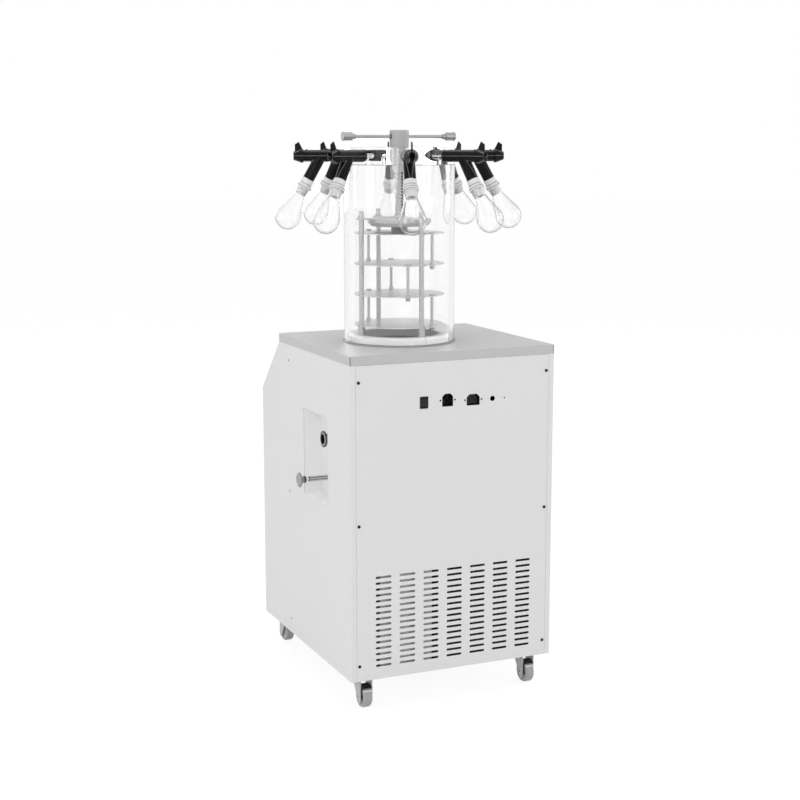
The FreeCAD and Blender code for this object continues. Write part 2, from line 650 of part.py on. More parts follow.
# ---------------------------------------------------------------- electrical fittings
def rocker_frame():
    """The switch housing clipped in the rear panel, open towards the rear."""
    x = RIGHT - ROCKER_X
    z = TOP - ROCKER_Z
    outer = box(x - ROCKER_WIDTH / 2, x + ROCKER_WIDTH / 2, REAR - SOCKET_DEPTH, REAR + 1.0,
                z - ROCKER_HEIGHT / 2, z + ROCKER_HEIGHT / 2)
    inner = box(x - ROCKER_WIDTH / 2 + ROCKER_RIM, x + ROCKER_WIDTH / 2 - ROCKER_RIM, REAR - SOCKET_DEPTH + 2,
                REAR + 2, z - ROCKER_HEIGHT / 2 + ROCKER_RIM, z + ROCKER_HEIGHT / 2 - ROCKER_RIM)
    return outer.cut(inner)


def power_rocker():
    """The rocker, pivoting about an axis along X in the middle of its housing."""
    half_w = ROCKER_WIDTH / 2 - ROCKER_RIM - REST_GAP
    half_h = ROCKER_HEIGHT / 2 - ROCKER_RIM - ROCKER_SWING
    pivot = REAR - 7.0
    profile = [(-half_h, pivot + 4), (-half_h, pivot + 9.2), (0, pivot + 7.4), (half_h, pivot + 7.9),
               (half_h, pivot + 4), (3, pivot - 5), (-3, pivot - 5)]
    x = RIGHT - ROCKER_X
    z = TOP - ROCKER_Z
    side = polygon_face([Vector(x - half_w, y, z + up) for up, y in profile])
    return side.extrude(Vector(2 * half_w, 0, 0))


def socket(at_x, at_z, width, height, pin_style):
    """A mains connector behind its opening: housing, flange, screws, and pins or a slotted block."""
    x = RIGHT - at_x
    z = TOP - at_z
    back = REAR - SHEET
    depth = back - SOCKET_DEPTH
    ear = width / 2 + 2 * SOCKET_EAR
    flange = box(x - ear, x + ear, back - SOCKET_FLANGE, back,
                 z - height / 2 - SOCKET_WALL, z + height / 2 + SOCKET_WALL)
    housing = box(x - width / 2 - SOCKET_WALL, x + width / 2 + SOCKET_WALL, depth, back - SOCKET_FLANGE,
                  z - height / 2 - SOCKET_WALL, z + height / 2 + SOCKET_WALL)
    cavity = chamfered(x, z, width, height, SOCKET_CHAMFER, depth + 3, back + 1)
    shape = fuse([flange, housing]).cut(cavity)
    extras = []
    if pin_style:
        for px, pz in ((-7, -3), (0, 4), (7, -3)):
            extras.append(box(x + px - 1, x + px + 1, depth + 1, back - 2, z + pz - 2.5, z + pz + 2.5))
    else:
        block = chamfered(x, z, width, height, SOCKET_CHAMFER, depth + 1, back - 4, -3.0)
        slots = [box(x + px - 1.2, x + px + 1.2, depth + 5, back, z + pz - 2.7, z + pz + 2.7)
                 for px, pz in ((-7, -2), (0, 3.5), (7, -2))]
        extras.append(block.cut(Part.makeCompound(slots)))
    for side in (-1, 1):
        at = x + side * (width / 2 + SOCKET_EAR)
        extras.append(rod_y(EAR_SCREW_R, back - 1, REAR + 0.2, at, z))
        extras.append(rod_y(EAR_SCREW_HEAD_R, REAR, REAR + 1.0, at, z))
    return fuse([shape] + extras)


# ---------------------------------------------------------------- cold trap and its services
def cold_trap():
    """The steel vessel under the chamber, rimmed under the worktop, with the vacuum collar on its side."""
    outer = WELL_R + TRAP_WALL
    rim = rod(outer + TRAP_RIM, TOP - SHEET - TRAP_RIM_THICKNESS, TOP - SHEET)
    vessel = fuse([rod(outer, TRAP_BOTTOM - TRAP_WALL, TOP - SHEET), rim])
    collar = rod_x(VACUUM_TUBE_R + PORT_COLLAR, WELL_R - 5, outer + PORT_COLLAR_LENGTH, 0, VACUUM_Z)
    shape = fuse([vessel, collar]).cut(rod(WELL_R, TRAP_BOTTOM, TOP))
    bore = rod_x(VACUUM_BORE_R, 0, outer + PORT_COLLAR_LENGTH + 1, 0, VACUUM_Z)
    drain = rod(DRAIN_BORE_R, TRAP_BOTTOM - 5, TRAP_BOTTOM + 5, 0, -DRAIN_TOWARDS_FRONT)
    return on_chamber(shape.cut(bore).cut(drain))


def coil_turns():
    """The evaporator's turns, flat against the trap, left out where the vacuum collar comes through."""
    inner = WELL_R + TRAP_WALL + REST_GAP
    outer = INSULATION_INNER_R + COIL_BEDDING
    pitch = (TRAP_DEPTH - COIL_FIRST - COIL_LAST) / (COIL_TURNS - 1)
    clear_of_port = VACUUM_TUBE_R + PORT_COLLAR + COIL_TUBE / 2 + REST_GAP
    turns = []
    for k in range(COIL_TURNS):
        level = TOP - COIL_FIRST - pitch * k
        if abs(level - VACUUM_Z) > clear_of_port:
            turns.append(turned([(inner, level - COIL_TUBE / 2), (outer, level - COIL_TUBE / 4),
                                 (outer, level + COIL_TUBE / 4), (inner, level + COIL_TUBE / 2)]))
    return turns


def trap_jacket():
    """The foam round the trap with the coil set in it, holed for the vacuum tube and the drain."""
    top = TOP - SHEET - TRAP_RIM_THICKNESS - REST_GAP
    bottom = TRAP_BOTTOM - TRAP_WALL - REST_GAP - INSULATION_BASE
    jacket = rod(INSULATION_OUTER_R, bottom, top)
    inside = fuse([rod(INSULATION_INNER_R, TRAP_BOTTOM, top + 1),
                   rod(WELL_R + TRAP_WALL + REST_GAP, TRAP_BOTTOM - TRAP_WALL - REST_GAP, top + 1)])
    holes = fuse([rod_x(VACUUM_TUBE_R + PORT_COLLAR + REST_GAP, 0, INSULATION_OUTER_R + 5, 0, VACUUM_Z),
                  rod(DRAIN_TUBE_R + REST_GAP, bottom - 1, TRAP_BOTTOM, 0, -DRAIN_TOWARDS_FRONT)])
    return on_chamber(fuse([jacket.cut(inside)] + coil_turns()).cut(holes))


def vacuum_port():
    """The tube from the trap's collar to the flange in the side recess."""
    face = RECESS_BACK + VACUUM_REACH
    start = CHAMBER_X + WELL_R + TRAP_WALL + PORT_COLLAR_LENGTH
    tube = rod_x(VACUUM_TUBE_R, start, face, CHAMBER_Y, VACUUM_Z)
    flange = rod_x(VACUUM_FLANGE_R, face - VACUUM_FLANGE, face, CHAMBER_Y, VACUUM_Z)
    lip = rod_x(VACUUM_LIP_R, face - VACUUM_FLANGE, face + VACUUM_LIP, CHAMBER_Y, VACUUM_Z)
    bore = rod_x(VACUUM_BORE_R, start - 1, face, CHAMBER_Y, VACUUM_Z)
    seat = rod_x(VACUUM_SEAT_R, face - VACUUM_SEAT, face + VACUUM_LIP + 1, CHAMBER_Y, VACUUM_Z)
    return fuse([tube, flange, lip]).cut(bore).cut(seat)


def drain_valve():
    """The drain tube from the bottom of the trap, through an elbow and out through the recess."""
    end = RECESS_BACK + DRAIN_REACH
    drop = rod(DRAIN_TUBE_R, DRAIN_Z, TRAP_BOTTOM - TRAP_WALL, CHAMBER_X, DRAIN_Y)
    line = rod_x(DRAIN_TUBE_R, CHAMBER_X, end, DRAIN_Y, DRAIN_Z)
    elbow = rod_y(DRAIN_ELBOW_R, DRAIN_Y - DRAIN_ELBOW_R, DRAIN_Y + DRAIN_ELBOW_R, CHAMBER_X, DRAIN_Z)
    bore = fuse([rod(DRAIN_BORE_R, DRAIN_Z, TRAP_BOTTOM, CHAMBER_X, DRAIN_Y),
                 rod_x(DRAIN_BORE_R, CHAMBER_X, end, DRAIN_Y, DRAIN_Z),
                 rod_x(DRAIN_MOUTH_R, end - DRAIN_MOUTH, end + 1, DRAIN_Y, DRAIN_Z)])
    return fuse([drop, line, elbow]).cut(bore)


def drain_knob():
    """The knob: lobed disc, waisted neck, and a spindle turning in the end of the drain tube."""
    tube_end = RECESS_BACK + DRAIN_REACH
    start = tube_end + DRAIN_SPINDLE
    neck_end = start + DRAIN_NECK
    stem = rod_x(DRAIN_BORE_R - RUNNING_FIT, tube_end - DRAIN_SPINDLE_INSIDE, start, DRAIN_Y, DRAIN_Z)
    third = DRAIN_NECK / 3
    neck = fuse([rod_x(DRAIN_NECK_R, start, start + third, DRAIN_Y, DRAIN_Z),
                 rod_x(DRAIN_NECK_WAIST_R, start, neck_end, DRAIN_Y, DRAIN_Z),
                 rod_x(DRAIN_NECK_R, neck_end - third, neck_end, DRAIN_Y, DRAIN_Z)])
    disc = rod_x(DRAIN_KNOB_R, neck_end, neck_end + DRAIN_KNOB, DRAIN_Y, DRAIN_Z)
    hollows = []
    for k in range(DRAIN_LOBES):
        angle = math.radians(360.0 / DRAIN_LOBES * (k + 0.5))
        hollows.append(rod_x(DRAIN_KNOB_R * 0.45, neck_end - 1, neck_end + DRAIN_KNOB + 1,
                             DRAIN_Y + 1.3 * DRAIN_KNOB_R * math.cos(angle),
                             DRAIN_Z + 1.3 * DRAIN_KNOB_R * math.sin(angle)))
    return fuse([stem, neck, disc]).cut(Part.makeCompound(hollows))


# ---------------------------------------------------------------- machinery
def control_box():
    """The closed box of the controller, on the base pan behind the louvres."""
    x1 = RIGHT - CONTROL_BOX_FROM_RIGHT
    y1 = REAR - CONTROL_BOX_FROM_REAR
    z0 = PAN_FLOOR + SHEET
    shape = box(x1 - CONTROL_BOX_WIDTH, x1, y1 - CONTROL_BOX_DEPTH, y1, z0, z0 + CONTROL_BOX_HEIGHT)
    hollow = box(x1 - CONTROL_BOX_WIDTH + SHEET, x1 - SHEET, y1 - CONTROL_BOX_DEPTH + SHEET, y1 - SHEET,
                 z0 + SHEET, z0 + CONTROL_BOX_HEIGHT - SHEET)
    return shape.cut(hollow)


def condenser():
    """The square finned block of the condenser in its frame, standing on the base pan."""
    x0 = LEFT + CONDENSER_FROM_LEFT
    y1 = REAR - CONDENSER_FROM_REAR
    z0 = PAN_FLOOR + SHEET
    block = box(x0, x0 + CONDENSER_WIDTH, y1 - CONDENSER_DEPTH, y1, z0, z0 + CONDENSER_WIDTH)
    grooves = []
    for k in range(1, 20):
        x = x0 + CONDENSER_WIDTH / 20 * k
        for near, far in ((y1 - 8, y1 + 1), (y1 - CONDENSER_DEPTH - 1, y1 - CONDENSER_DEPTH + 8)):
            grooves.append(box(x - 3, x + 3, near, far, z0 + 10, z0 + CONDENSER_WIDTH - 10))
    return block.cut(Part.makeCompound(grooves))


def fan_centre():
    """The fan's axis: across the middle of the condenser. Returns x, the rear face's y, and z."""
    x = LEFT + CONDENSER_FROM_LEFT + CONDENSER_WIDTH / 2
    y = REAR - CONDENSER_FROM_REAR - CONDENSER_DEPTH
    z = PAN_FLOOR + SHEET + CONDENSER_WIDTH / 2
    return x, y, z


def fan_frame():
    """The square shroud against the condenser, with three struts and the motor in the middle."""
    x, y, z = fan_centre()
    front = y - FAN_DEPTH
    half = FAN_SIZE / 2
    frame = box(x - half, x + half, front, y, z - half, z + half)
    frame = frame.cut(rod_y(FAN_DUCT_R, front - 1, y + 1, x, z))
    feet = box(x - half, x + half, front, y, PAN_FLOOR + SHEET, z - half)
    motor = rod_y(FAN_HUB_R, front - 14, front + 4, x, z)
    struts = []
    for k in range(3):
        strut = box(x, x + FAN_DUCT_R + 4, front, front + 4, z - 4, z + 4)
        struts.append(turned_by(strut, 90 + 120 * k, ALONG_Y, Vector(x, 0, z)))
    bore = rod_y(FAN_SHAFT_R + RUNNING_FIT, front - 12, front + 5, x, z)
    return fuse([frame, feet, motor] + struts).cut(bore)


def fan_rotor():
    """Hub, shaft and pitched blades."""
    x, y, z = fan_centre()
    front = y - FAN_DEPTH
    hub = rod_y(FAN_HUB_R, front + 4 + REST_GAP, y - 4, x, z)
    shaft = rod_y(FAN_SHAFT_R, front - 10, front + 6, x, z)
    middle = (front + 4 + y - 4) / 2
    blades = []
    for k in range(FAN_BLADES):
        blade = box(x + FAN_HUB_R - 2, x + FAN_TIP_R, middle - 1, middle + 1, z - 14, z + 14)
        blade.rotate(Vector(x, middle, z), ALONG_X, 28)
        blades.append(turned_by(blade, 360.0 / FAN_BLADES * k, ALONG_Y, Vector(x, 0, z)))
    within = rod_y(FAN_TIP_R, front, y, x, z)
    return fuse([hub, shaft] + [blade.common(within) for blade in blades])


def compressor():
    """The welded shell of the refrigeration compressor on its four-footed plate."""
    x = LEFT + COMPRESSOR_FROM_LEFT
    y = REAR - COMPRESSOR_FROM_REAR
    z0 = PAN_FLOOR + SHEET
    foot = z0 + COMPRESSOR_FOOT
    shell = rod(COMPRESSOR_R, foot, foot + COMPRESSOR_HEIGHT, x, y)
    rims = [e for e in shell.Edges if e.Length > 3 * COMPRESSOR_R]
    shell = shell.makeFillet(COMPRESSOR_R * 0.45, rims)
    seam0 = foot + COMPRESSOR_SEAM
    seam = rod(COMPRESSOR_R + COMPRESSOR_SEAM_STEP, seam0, seam0 + COMPRESSOR_SEAM_HEIGHT, x, y)
    half_x = COMPRESSOR_PLATE_HALF_X
    half_y = COMPRESSOR_PLATE_HALF_Y
    plate = box(x - half_x, x + half_x, y - half_y, y + half_y, foot, foot + COMPRESSOR_PLATE)
    feet = [rod(COMPRESSOR_FOOT_R, z0, foot + 1, x + sx * (half_x - COMPRESSOR_FOOT_INSET),
                y + sy * (half_y - COMPRESSOR_FOOT_INSET)) for sx in (-1, 1) for sy in (-1, 1)]
    core = rod(COMPRESSOR_R * 0.5, foot, foot + 20, x, y)
    return fuse([shell, seam, plate, core] + feet)


# ---------------------------------------------------------------- casters
def caster_places():
    """Swivel axis and trailing direction of each caster: +1 trails to the rear, -1 to the front."""
    places = []
    for x in (RIGHT - CASTER_INSET_X, LEFT + CASTER_INSET_X):
        for y, trail in ((REAR - CASTER_INSET_Y, 1), (FRONT + CASTER_INSET_Y, -1)):
            places.append((x, y, trail))
    return places


def fork_side():
    """A fork plate as one face: upright behind, slanting in front, and rounded at the foot."""
    centre = Vector(0, CASTER_TRAIL + FORK_FOOT_BEHIND, WHEEL_R - FORK_FOOT_BELOW)
    foot = Part.Face(Part.Wire(Part.makeCircle(FORK_FOOT_R, centre, ALONG_X)))
    front = Vector(0, -FORK_CROWN_FRONT, FORK_TOP)
    rear = Vector(0, centre.y + FORK_FOOT_R, FORK_TOP)
    lower = [tangent_point(centre, FORK_FOOT_R, front, -1), tangent_point(centre, FORK_FOOT_R, rear, 1)]
    web = polygon_face([front, rear, lower[1], centre, lower[0]])
    return fuse([foot, web])


def tangent_point(centre, radius, outside, side):
    """Where a line from a point outside touches a circle in the YZ plane."""
    dy = outside.y - centre.y
    dz = outside.z - centre.z
    reach = math.hypot(dy, dz)
    towards = math.atan2(dz, dy)
    turn = math.acos(radius / reach)
    angle = towards - side * turn
    return Vector(0, centre.y + radius * math.cos(angle), centre.z + radius * math.sin(angle))


def caster_fork():
    """Two plates, the crown, the king pin and the axle that is peened into the plates."""
    half = WHEEL_WIDTH / 2 + FORK_GAP
    plates = []
    for side in (-1, 1):
        plate = fork_side().extrude(Vector(FORK_PLATE, 0, 0))
        plate.translate(Vector(half if side > 0 else -half - FORK_PLATE, 0, 0))
        plates.append(plate)
    crown = rod(half + FORK_PLATE, FORK_TOP - FORK_CROWN, FORK_TOP)
    pin = rod(PIVOT_R, FORK_TOP - FORK_CROWN, PAN_FLOOR - SHEET - REST_GAP)
    axle = rod_x(AXLE_R, -half - FORK_PLATE, half + FORK_PLATE, CASTER_TRAIL, WHEEL_R)
    return fuse(plates + [crown, pin, axle])


def caster_wheel():
    """A wide moulded wheel with a flat tread, rounded shoulders and a bore."""
    half = WHEEL_WIDTH / 2
    tread = WHEEL_TREAD / 2
    rim = WHEEL_R - WHEEL_SHOULDER
    bore = AXLE_R + RUNNING_FIT
    edge_mid = WHEEL_R - WHEEL_SHOULDER * 0.3
    across = (half + tread) / 2 + 0.8
    edges = [
        Part.LineSegment(Vector(-half, 0, bore), Vector(-half, 0, rim)).toShape(),
        Part.Arc(Vector(-half, 0, rim), Vector(-across, 0, edge_mid), Vector(-tread, 0, WHEEL_R)).toShape(),
        Part.LineSegment(Vector(-tread, 0, WHEEL_R), Vector(tread, 0, WHEEL_R)).toShape(),
        Part.Arc(Vector(tread, 0, WHEEL_R), Vector(across, 0, edge_mid), Vector(half, 0, rim)).toShape(),
        Part.LineSegment(Vector(half, 0, rim), Vector(half, 0, bore)).toShape(),
        Part.LineSegment(Vector(half, 0, bore), Vector(-half, 0, bore)).toShape(),
    ]
    wheel = Part.Face(Part.Wire(edges)).revolve(Vector(0, 0, 0), ALONG_X, 360)
    for side in (-1, 1):
        dish = turned_x([(side * (half - 1.5), AXLE_R + 4), (side * (half + 1), AXLE_R + 4),
                         (side * (half + 1), rim - 4), (side * (half - 1.5), rim - 5)])
        wheel = wheel.cut(dish)
    return moved(wheel, 0, CASTER_TRAIL, WHEEL_R)


# ---------------------------------------------------------------- chamber
def lower_seal():
    """The ring that the chamber tube stands in, an L in section."""
    foot = ring(TUBE_INNER_R - 2, TUBE_R + TUBE_SEAL_LIP, TOP, TOP + TUBE_SEAL)
    return on_chamber(foot)


def chamber_tube():
    """The clear cylinder."""
    return on_chamber(ring(TUBE_INNER_R, TUBE_R, TOP + TUBE_SEAL, TUBE_TOP))


def upper_seal():
    """The flat ring between the tube and the lid."""
    return on_chamber(ring(TUBE_INNER_R, TUBE_R, TUBE_TOP, LID_Z))


def collar_ring():
    """The ring that centres the rack round the well, bevelled at its top outer edge."""
    bevel = COLLAR_BEVEL
    profile = [(COLLAR_INNER_R, TOP), (COLLAR_OUTER_R, TOP), (COLLAR_OUTER_R, TOP + COLLAR_HEIGHT - bevel),
               (COLLAR_OUTER_R - bevel, TOP + COLLAR_HEIGHT), (COLLAR_INNER_R + 1.5, TOP + COLLAR_HEIGHT),
               (COLLAR_INNER_R, TOP + COLLAR_HEIGHT - 1.5)]
    return on_chamber(turned(profile))


def lid():
    """The thick clear disc, drilled from the rim to each drop port, with a bore for the press."""
    disc = rod(TUBE_R, LID_Z, LID_TOP)
    cuts = [rod(SHANK_R + RUNNING_FIT, LID_Z - 1, LID_TOP + 1)]
    for angle in VALVE_ANGLES:
        radial = rod_x(PORT_R, TUBE_R - PORT_DEPTH, TUBE_R + 1, 0, VALVE_Z)
        drop = rod(DROP_PORT_R, LID_Z - 1, VALVE_Z, TUBE_R - DROP_PORT_FROM_RIM, 0)
        cuts.append(turned_by(fuse([radial, drop]), angle))
    return on_chamber(disc.cut(Part.makeCompound(cuts)))


# ---------------------------------------------------------------- valves, stoppers, flasks
def along_branch(shape):
    """Pieces on the branch are drawn down the Z axis and swung out to the branch's direction."""
    swung = turned_by(shape, -BRANCH_ANGLE, ALONG_Y)
    return moved(swung, BRANCH_ROOT_R, 0, VALVE_Z)


def valve_body():
    """One moulded body along +X: spigot, mouth, barrel with the plug bore, branch and nozzle."""
    face = TUBE_R + REST_GAP
    spigot = PORT_R - SEAT_GAP
    profile = [(TUBE_R - SPIGOT_DEPTH, 0), (TUBE_R - SPIGOT_DEPTH, spigot), (face, spigot), (face, MOUTH_R),
               (face + MOUTH_LENGTH, BODY_R), (BODY_END_R, BODY_R), (BODY_END_R, 0)]
    barrel = moved(turned_x(profile), 0, 0, VALVE_Z)
    branch = along_branch(rod(BODY_R, -BRANCH_LENGTH, 0))
    nozzle = along_branch(rod(NOZZLE_R, -BRANCH_LENGTH - NOZZLE_LENGTH, -BRANCH_LENGTH))
    pip = rod(1.8, VALVE_Z + BODY_R - 2, VALVE_Z + BODY_R + 1.5, BODY_END_R - 7.5, 0)
    body = fuse([barrel, branch, nozzle, pip])
    flow = rod_x(BRANCH_BORE_R, TUBE_R - SPIGOT_DEPTH - 1, BODY_END_R - PLUG_DEPTH + 1, 0, VALVE_Z)
    plug_bore = rod_x(PLUG_R + RUNNING_FIT, BODY_END_R - PLUG_DEPTH - REST_GAP, BODY_END_R + 1, 0, VALVE_Z)
    branch_bore = along_branch(rod(BRANCH_BORE_R, -BRANCH_LENGTH - NOZZLE_LENGTH - 1, 0))
    return body.cut(fuse([flow, plug_bore, branch_bore]))


def valve_plug():
    """The turning plug: a hollow shaft with a side port, a tapered head and a thumb wing."""
    inner = BODY_END_R - PLUG_DEPTH
    head = BODY_END_R + REST_GAP
    tip = head + PLUG_HEAD_LENGTH
    shaft = rod_x(PLUG_R, inner, head + 1, 0, VALVE_Z)
    profile = [(head, 0), (head, PLUG_HEAD_R), (head + PLUG_RIM, PLUG_HEAD_R), (tip, PLUG_TIP_R), (tip, 0)]
    cone = moved(turned_x(profile), 0, 0, VALVE_Z)
    wing_points = [(0.5, WING_ROOT), (0.5, PLUG_HEAD_R - 2), (WING_CREST_AT, WING_CREST),
                   (WING_LENGTH, WING_CREST - 5.5), (WING_LENGTH, WING_ROOT)]
    wing = polygon_face([Vector(head + x, -WING_THICKNESS / 2, VALVE_Z + up) for x, up in wing_points])
    wing = wing.extrude(Vector(0, WING_THICKNESS, 0))
    recess = rod_x(PLUG_RECESS_R, tip - 14, tip + 1, 0, VALVE_Z)
    bore = rod_x(BRANCH_BORE_R, inner - 1, BRANCH_ROOT_R + 6, 0, VALVE_Z)
    port = along_branch(rod(BRANCH_BORE_R, -BODY_R - 5, 0))
    return fuse([shaft, cone, wing]).cut(fuse([recess, bore, port]))


def stopper():
    """The hollow rubber stopper on the branch: sleeve, flange and tapered plug."""
    top = BRANCH_LENGTH + REST_GAP
    flange0 = STOPPER_FLANGE_AT
    flange1 = flange0 + STOPPER_FLANGE
    mouth = FLASK_MOUTH_R - FLASK_WALL - SEAT_GAP
    neck = FLASK_NECK_R - FLASK_WALL - SEAT_GAP
    taper = mouth - (mouth - neck) * STOPPER_PLUG / FLASK_NECK
    profile = [(NOZZLE_R + SEAT_GAP, -top), (STOPPER_TUBE_R, -top), (STOPPER_TUBE_R, -flange0),
               (STOPPER_FLANGE_R, -flange0), (STOPPER_FLANGE_R, -flange1), (mouth, -flange1),
               (taper, -flange1 - STOPPER_PLUG), (NOZZLE_R + SEAT_GAP, -flange1 - STOPPER_PLUG)]
    grooves = []
    for radius, start in ((STOPPER_TUBE_R, flange0 - STOPPER_GROOVE_GAP),
                          (STOPPER_FLANGE_R, (flange0 + flange1 + STOPPER_GROOVE) / 2)):
        grooves.append(ring(radius - STOPPER_GROOVE, radius + 1, -start, STOPPER_GROOVE - start))
    return along_branch(turned(profile).cut(Part.makeCompound(grooves)))


def flask_outline(mouth_r, neck_r, bulb_r):
    """Half section of a pear flask: neck, cone tangent to the bulb, bulb, down the Z axis."""
    neck_end = FLASK_MOUTH_AT + FLASK_NECK
    reach = math.hypot(FLASK_BULB_AT - neck_end, neck_r)
    towards = math.atan2(FLASK_BULB_AT - neck_end, neck_r)
    angle = towards - math.acos(bulb_r / reach)
    touch = Vector(bulb_r * math.cos(angle), 0, -FLASK_BULB_AT + bulb_r * math.sin(angle))
    middle_x, middle_z = around(-30, bulb_r)
    middle = Vector(middle_x, 0, middle_z - FLASK_BULB_AT)
    bottom = Vector(0, 0, -FLASK_BULB_AT - bulb_r)
    neck = Vector(neck_r, 0, -neck_end)
    mouth = Vector(mouth_r, 0, -FLASK_MOUTH_AT)
    return [Part.LineSegment(mouth, neck).toShape(), Part.LineSegment(neck, touch).toShape(),
            Part.Arc(touch, middle, bottom).toShape()]


def flask():
    """The blown glass flask, its neck round the stopper's plug."""
    outer = flask_outline(FLASK_MOUTH_R, FLASK_NECK_R, FLASK_BULB_R)
    inner = flask_outline(FLASK_MOUTH_R - FLASK_WALL, FLASK_NECK_R - FLASK_WALL, FLASK_BULB_R - FLASK_WALL)
    mouth = Part.LineSegment(Vector(FLASK_MOUTH_R - FLASK_WALL, 0, -FLASK_MOUTH_AT),
                             Vector(FLASK_MOUTH_R, 0, -FLASK_MOUTH_AT)).toShape()
    bottom = -FLASK_BULB_AT - FLASK_BULB_R
    base = Part.LineSegment(Vector(0, 0, bottom), Vector(0, 0, bottom + FLASK_WALL)).toShape()
    wire = Part.Wire(Part.__sortEdges__([mouth] + outer + [base] + inner))
    return along_branch(Part.Face(wire).revolve(Vector(0, 0, 0), UP, 360))


def all_round(piece):
    """Copies of one piece at every valve, in one shape."""
    return on_chamber(Part.makeCompound([turned_by(piece, angle) for angle in VALVE_ANGLES]))


# ---------------------------------------------------------------- press
def press_head():
    """The head, fluted shank and nose in one turned piece, with a blind bore for the screw."""
    head0 = LID_TOP + REST_GAP
    top = head0 + HEAD_HEIGHT
    nose0 = LID_Z - NOSE_BELOW_LID
    shank0 = nose0 + NOSE_LENGTH
    profile = [(0, nose0), (NOSE_R, nose0), (SHANK_R, shank0), (SHANK_R, head0), (HEAD_R, head0),
               (HEAD_R, top - 1.5), (HEAD_R - 1.5, top), (0, top)]
    flutes = [rod(FLUTE_R, shank0 - 30, head0, *around(360.0 / FLUTE_COUNT * k, SHANK_R + 0.35))
              for k in range(FLUTE_COUNT)]
    bore = rod(SCREW_R + RUNNING_FIT, nose0 - 1, nose0 + SCREW_IN_HEAD + 1.0)
    cross = rod_x(BAR_R + SEAT_GAP, -HEAD_R - 1, HEAD_R + 1, 0, LID_TOP + BAR_ABOVE_LID)
    return on_chamber(turned(profile).cut(Part.makeCompound(flutes)).cut(bore).cut(cross))


def t_bar():
    """The bar through the head, with a knob on each end."""
    knob0 = BAR_REACH - KNOB_DISC - KNOB_LENGTH
    collar0 = knob0 - KNOB_COLLAR
    profile = [(0, 0), (0, BAR_R), (collar0, BAR_R), (collar0, KNOB_COLLAR_R), (knob0, KNOB_COLLAR_R),
               (knob0 + 1.5, KNOB_R), (BAR_REACH - KNOB_DISC, KNOB_R), (BAR_REACH - KNOB_DISC, KNOB_DISC_R),
               (BAR_REACH - 0.8, KNOB_DISC_R), (BAR_REACH, KNOB_DISC_R - 0.8), (BAR_REACH, 0)]
    half = turned_x(profile)
    bar = fuse([half, turned_by(half, 180)])
    return on_chamber(moved(bar, 0, 0, LID_TOP + BAR_ABOVE_LID))


def press_screw():
    """The pressing screw, plain up to just above the bridge. Ring grooves stand for its thread."""
    top = LID_Z - NOSE_BELOW_LID + SCREW_IN_HEAD
    thread_end = PAD_Z + PAD_THICKNESS + BRIDGE_BOSS + THREAD_ABOVE_BOSS
    root = SCREW_R - THREAD_DEPTH
    mouth = SCREW_PITCH * GROOVE_MOUTH / 2
    floor = SCREW_PITCH * GROOVE_FLOOR / 2
    profile = [(0, FOOT_TOP), (SCREW_R, FOOT_TOP)]
    for k in range(int((top - thread_end) / SCREW_PITCH)):
        z = thread_end + SCREW_PITCH * (k + 0.5)
        profile += [(SCREW_R, z - mouth), (root, z - floor), (root, z + floor), (SCREW_R, z + mouth)]
    profile += [(SCREW_R, top), (0, top)]
    return on_chamber(turned(profile))


def press_foot():
    """The pad on the end of the screw, on the top shelf."""
    bevel = FOOT_R - 2
    return on_chamber(turned([(0, FOOT_BOTTOM), (FOOT_R, FOOT_BOTTOM), (FOOT_R, FOOT_TOP - 2),
                              (bevel, FOOT_TOP), (0, FOOT_TOP)]))


# ---------------------------------------------------------------- rack
def shelf(index, post_gap, hangers):
    """One round shelf: notches for the posts and holes for the rods of the shelf below or above."""
    z = SHELF_Z[index]
    disc = rod(SHELF_R, z, z + SHELF_THICKNESS)
    cuts = []
    for angle in POST_ANGLES:
        x, y = around(angle, POST_CIRCLE_R)
        notch = fuse([rod(POST_R + post_gap, z - 1, z + SHELF_THICKNESS + 1, POST_CIRCLE_R, 0),
                      box(POST_CIRCLE_R, SHELF_R + 5, -POST_R - post_gap, POST_R + post_gap,
                          z - 1, z + SHELF_THICKNESS + 1)])
        cuts.append(turned_by(notch, angle))
    for angle in hangers:
        x, y = around(angle, HANGER_CIRCLE_R)
        cuts.append(rod(HANGER_R + GUIDE_GAP, z - 1, z + SHELF_THICKNESS + 1, x, y))
    return on_chamber(disc.cut(Part.makeCompound(cuts)))


def hanger_rods(lower, angles):
    """Two rods fixed in a shelf by nuts below it, each with a round head over the shelf above."""
    z0 = SHELF_Z[lower]
    z1 = SHELF_Z[lower - 1] + SHELF_THICKNESS
    rods = []
    for angle in angles:
        nut = Part.makeCone(HANGER_HEAD_R - 2, HANGER_HEAD_R, HANGER_NUT, Vector(0, 0, z0 - HANGER_NUT))
        stem = rod(HANGER_R, z0 - 1, z1 + 1)
        shoulder = rod(HANGER_R + 2, z0 + SHELF_THICKNESS, z0 + SHELF_THICKNESS + 5)
        head = rod(HANGER_HEAD_R, z1 + REST_GAP, z1 + REST_GAP + HANGER_HEAD)
        rods.append(moved(fuse([nut, stem, shoulder, head]), *around(angle, HANGER_CIRCLE_R)))
    return on_chamber(Part.makeCompound(rods))


def rack_posts():
    """Three posts on wide feet, each closed by a conical cap above the bridge."""
    posts = []
    for angle in POST_ANGLES:
        foot = rod(POST_FOOT_R, TOP + COLLAR_HEIGHT, TOP + LOWEST_SHELF)
        stem = rod(POST_R, TOP + COLLAR_HEIGHT, POST_TOP_Z - 1)
        cap = Part.makeCone(CAP_BASE_R, CAP_TIP_R, CAP_HEIGHT, Vector(0, 0, POST_TOP_Z - CAP_HEIGHT))
        posts.append(moved(fuse([foot, stem, cap]), *around(angle, POST_CIRCLE_R)))
    return on_chamber(Part.makeCompound(posts))


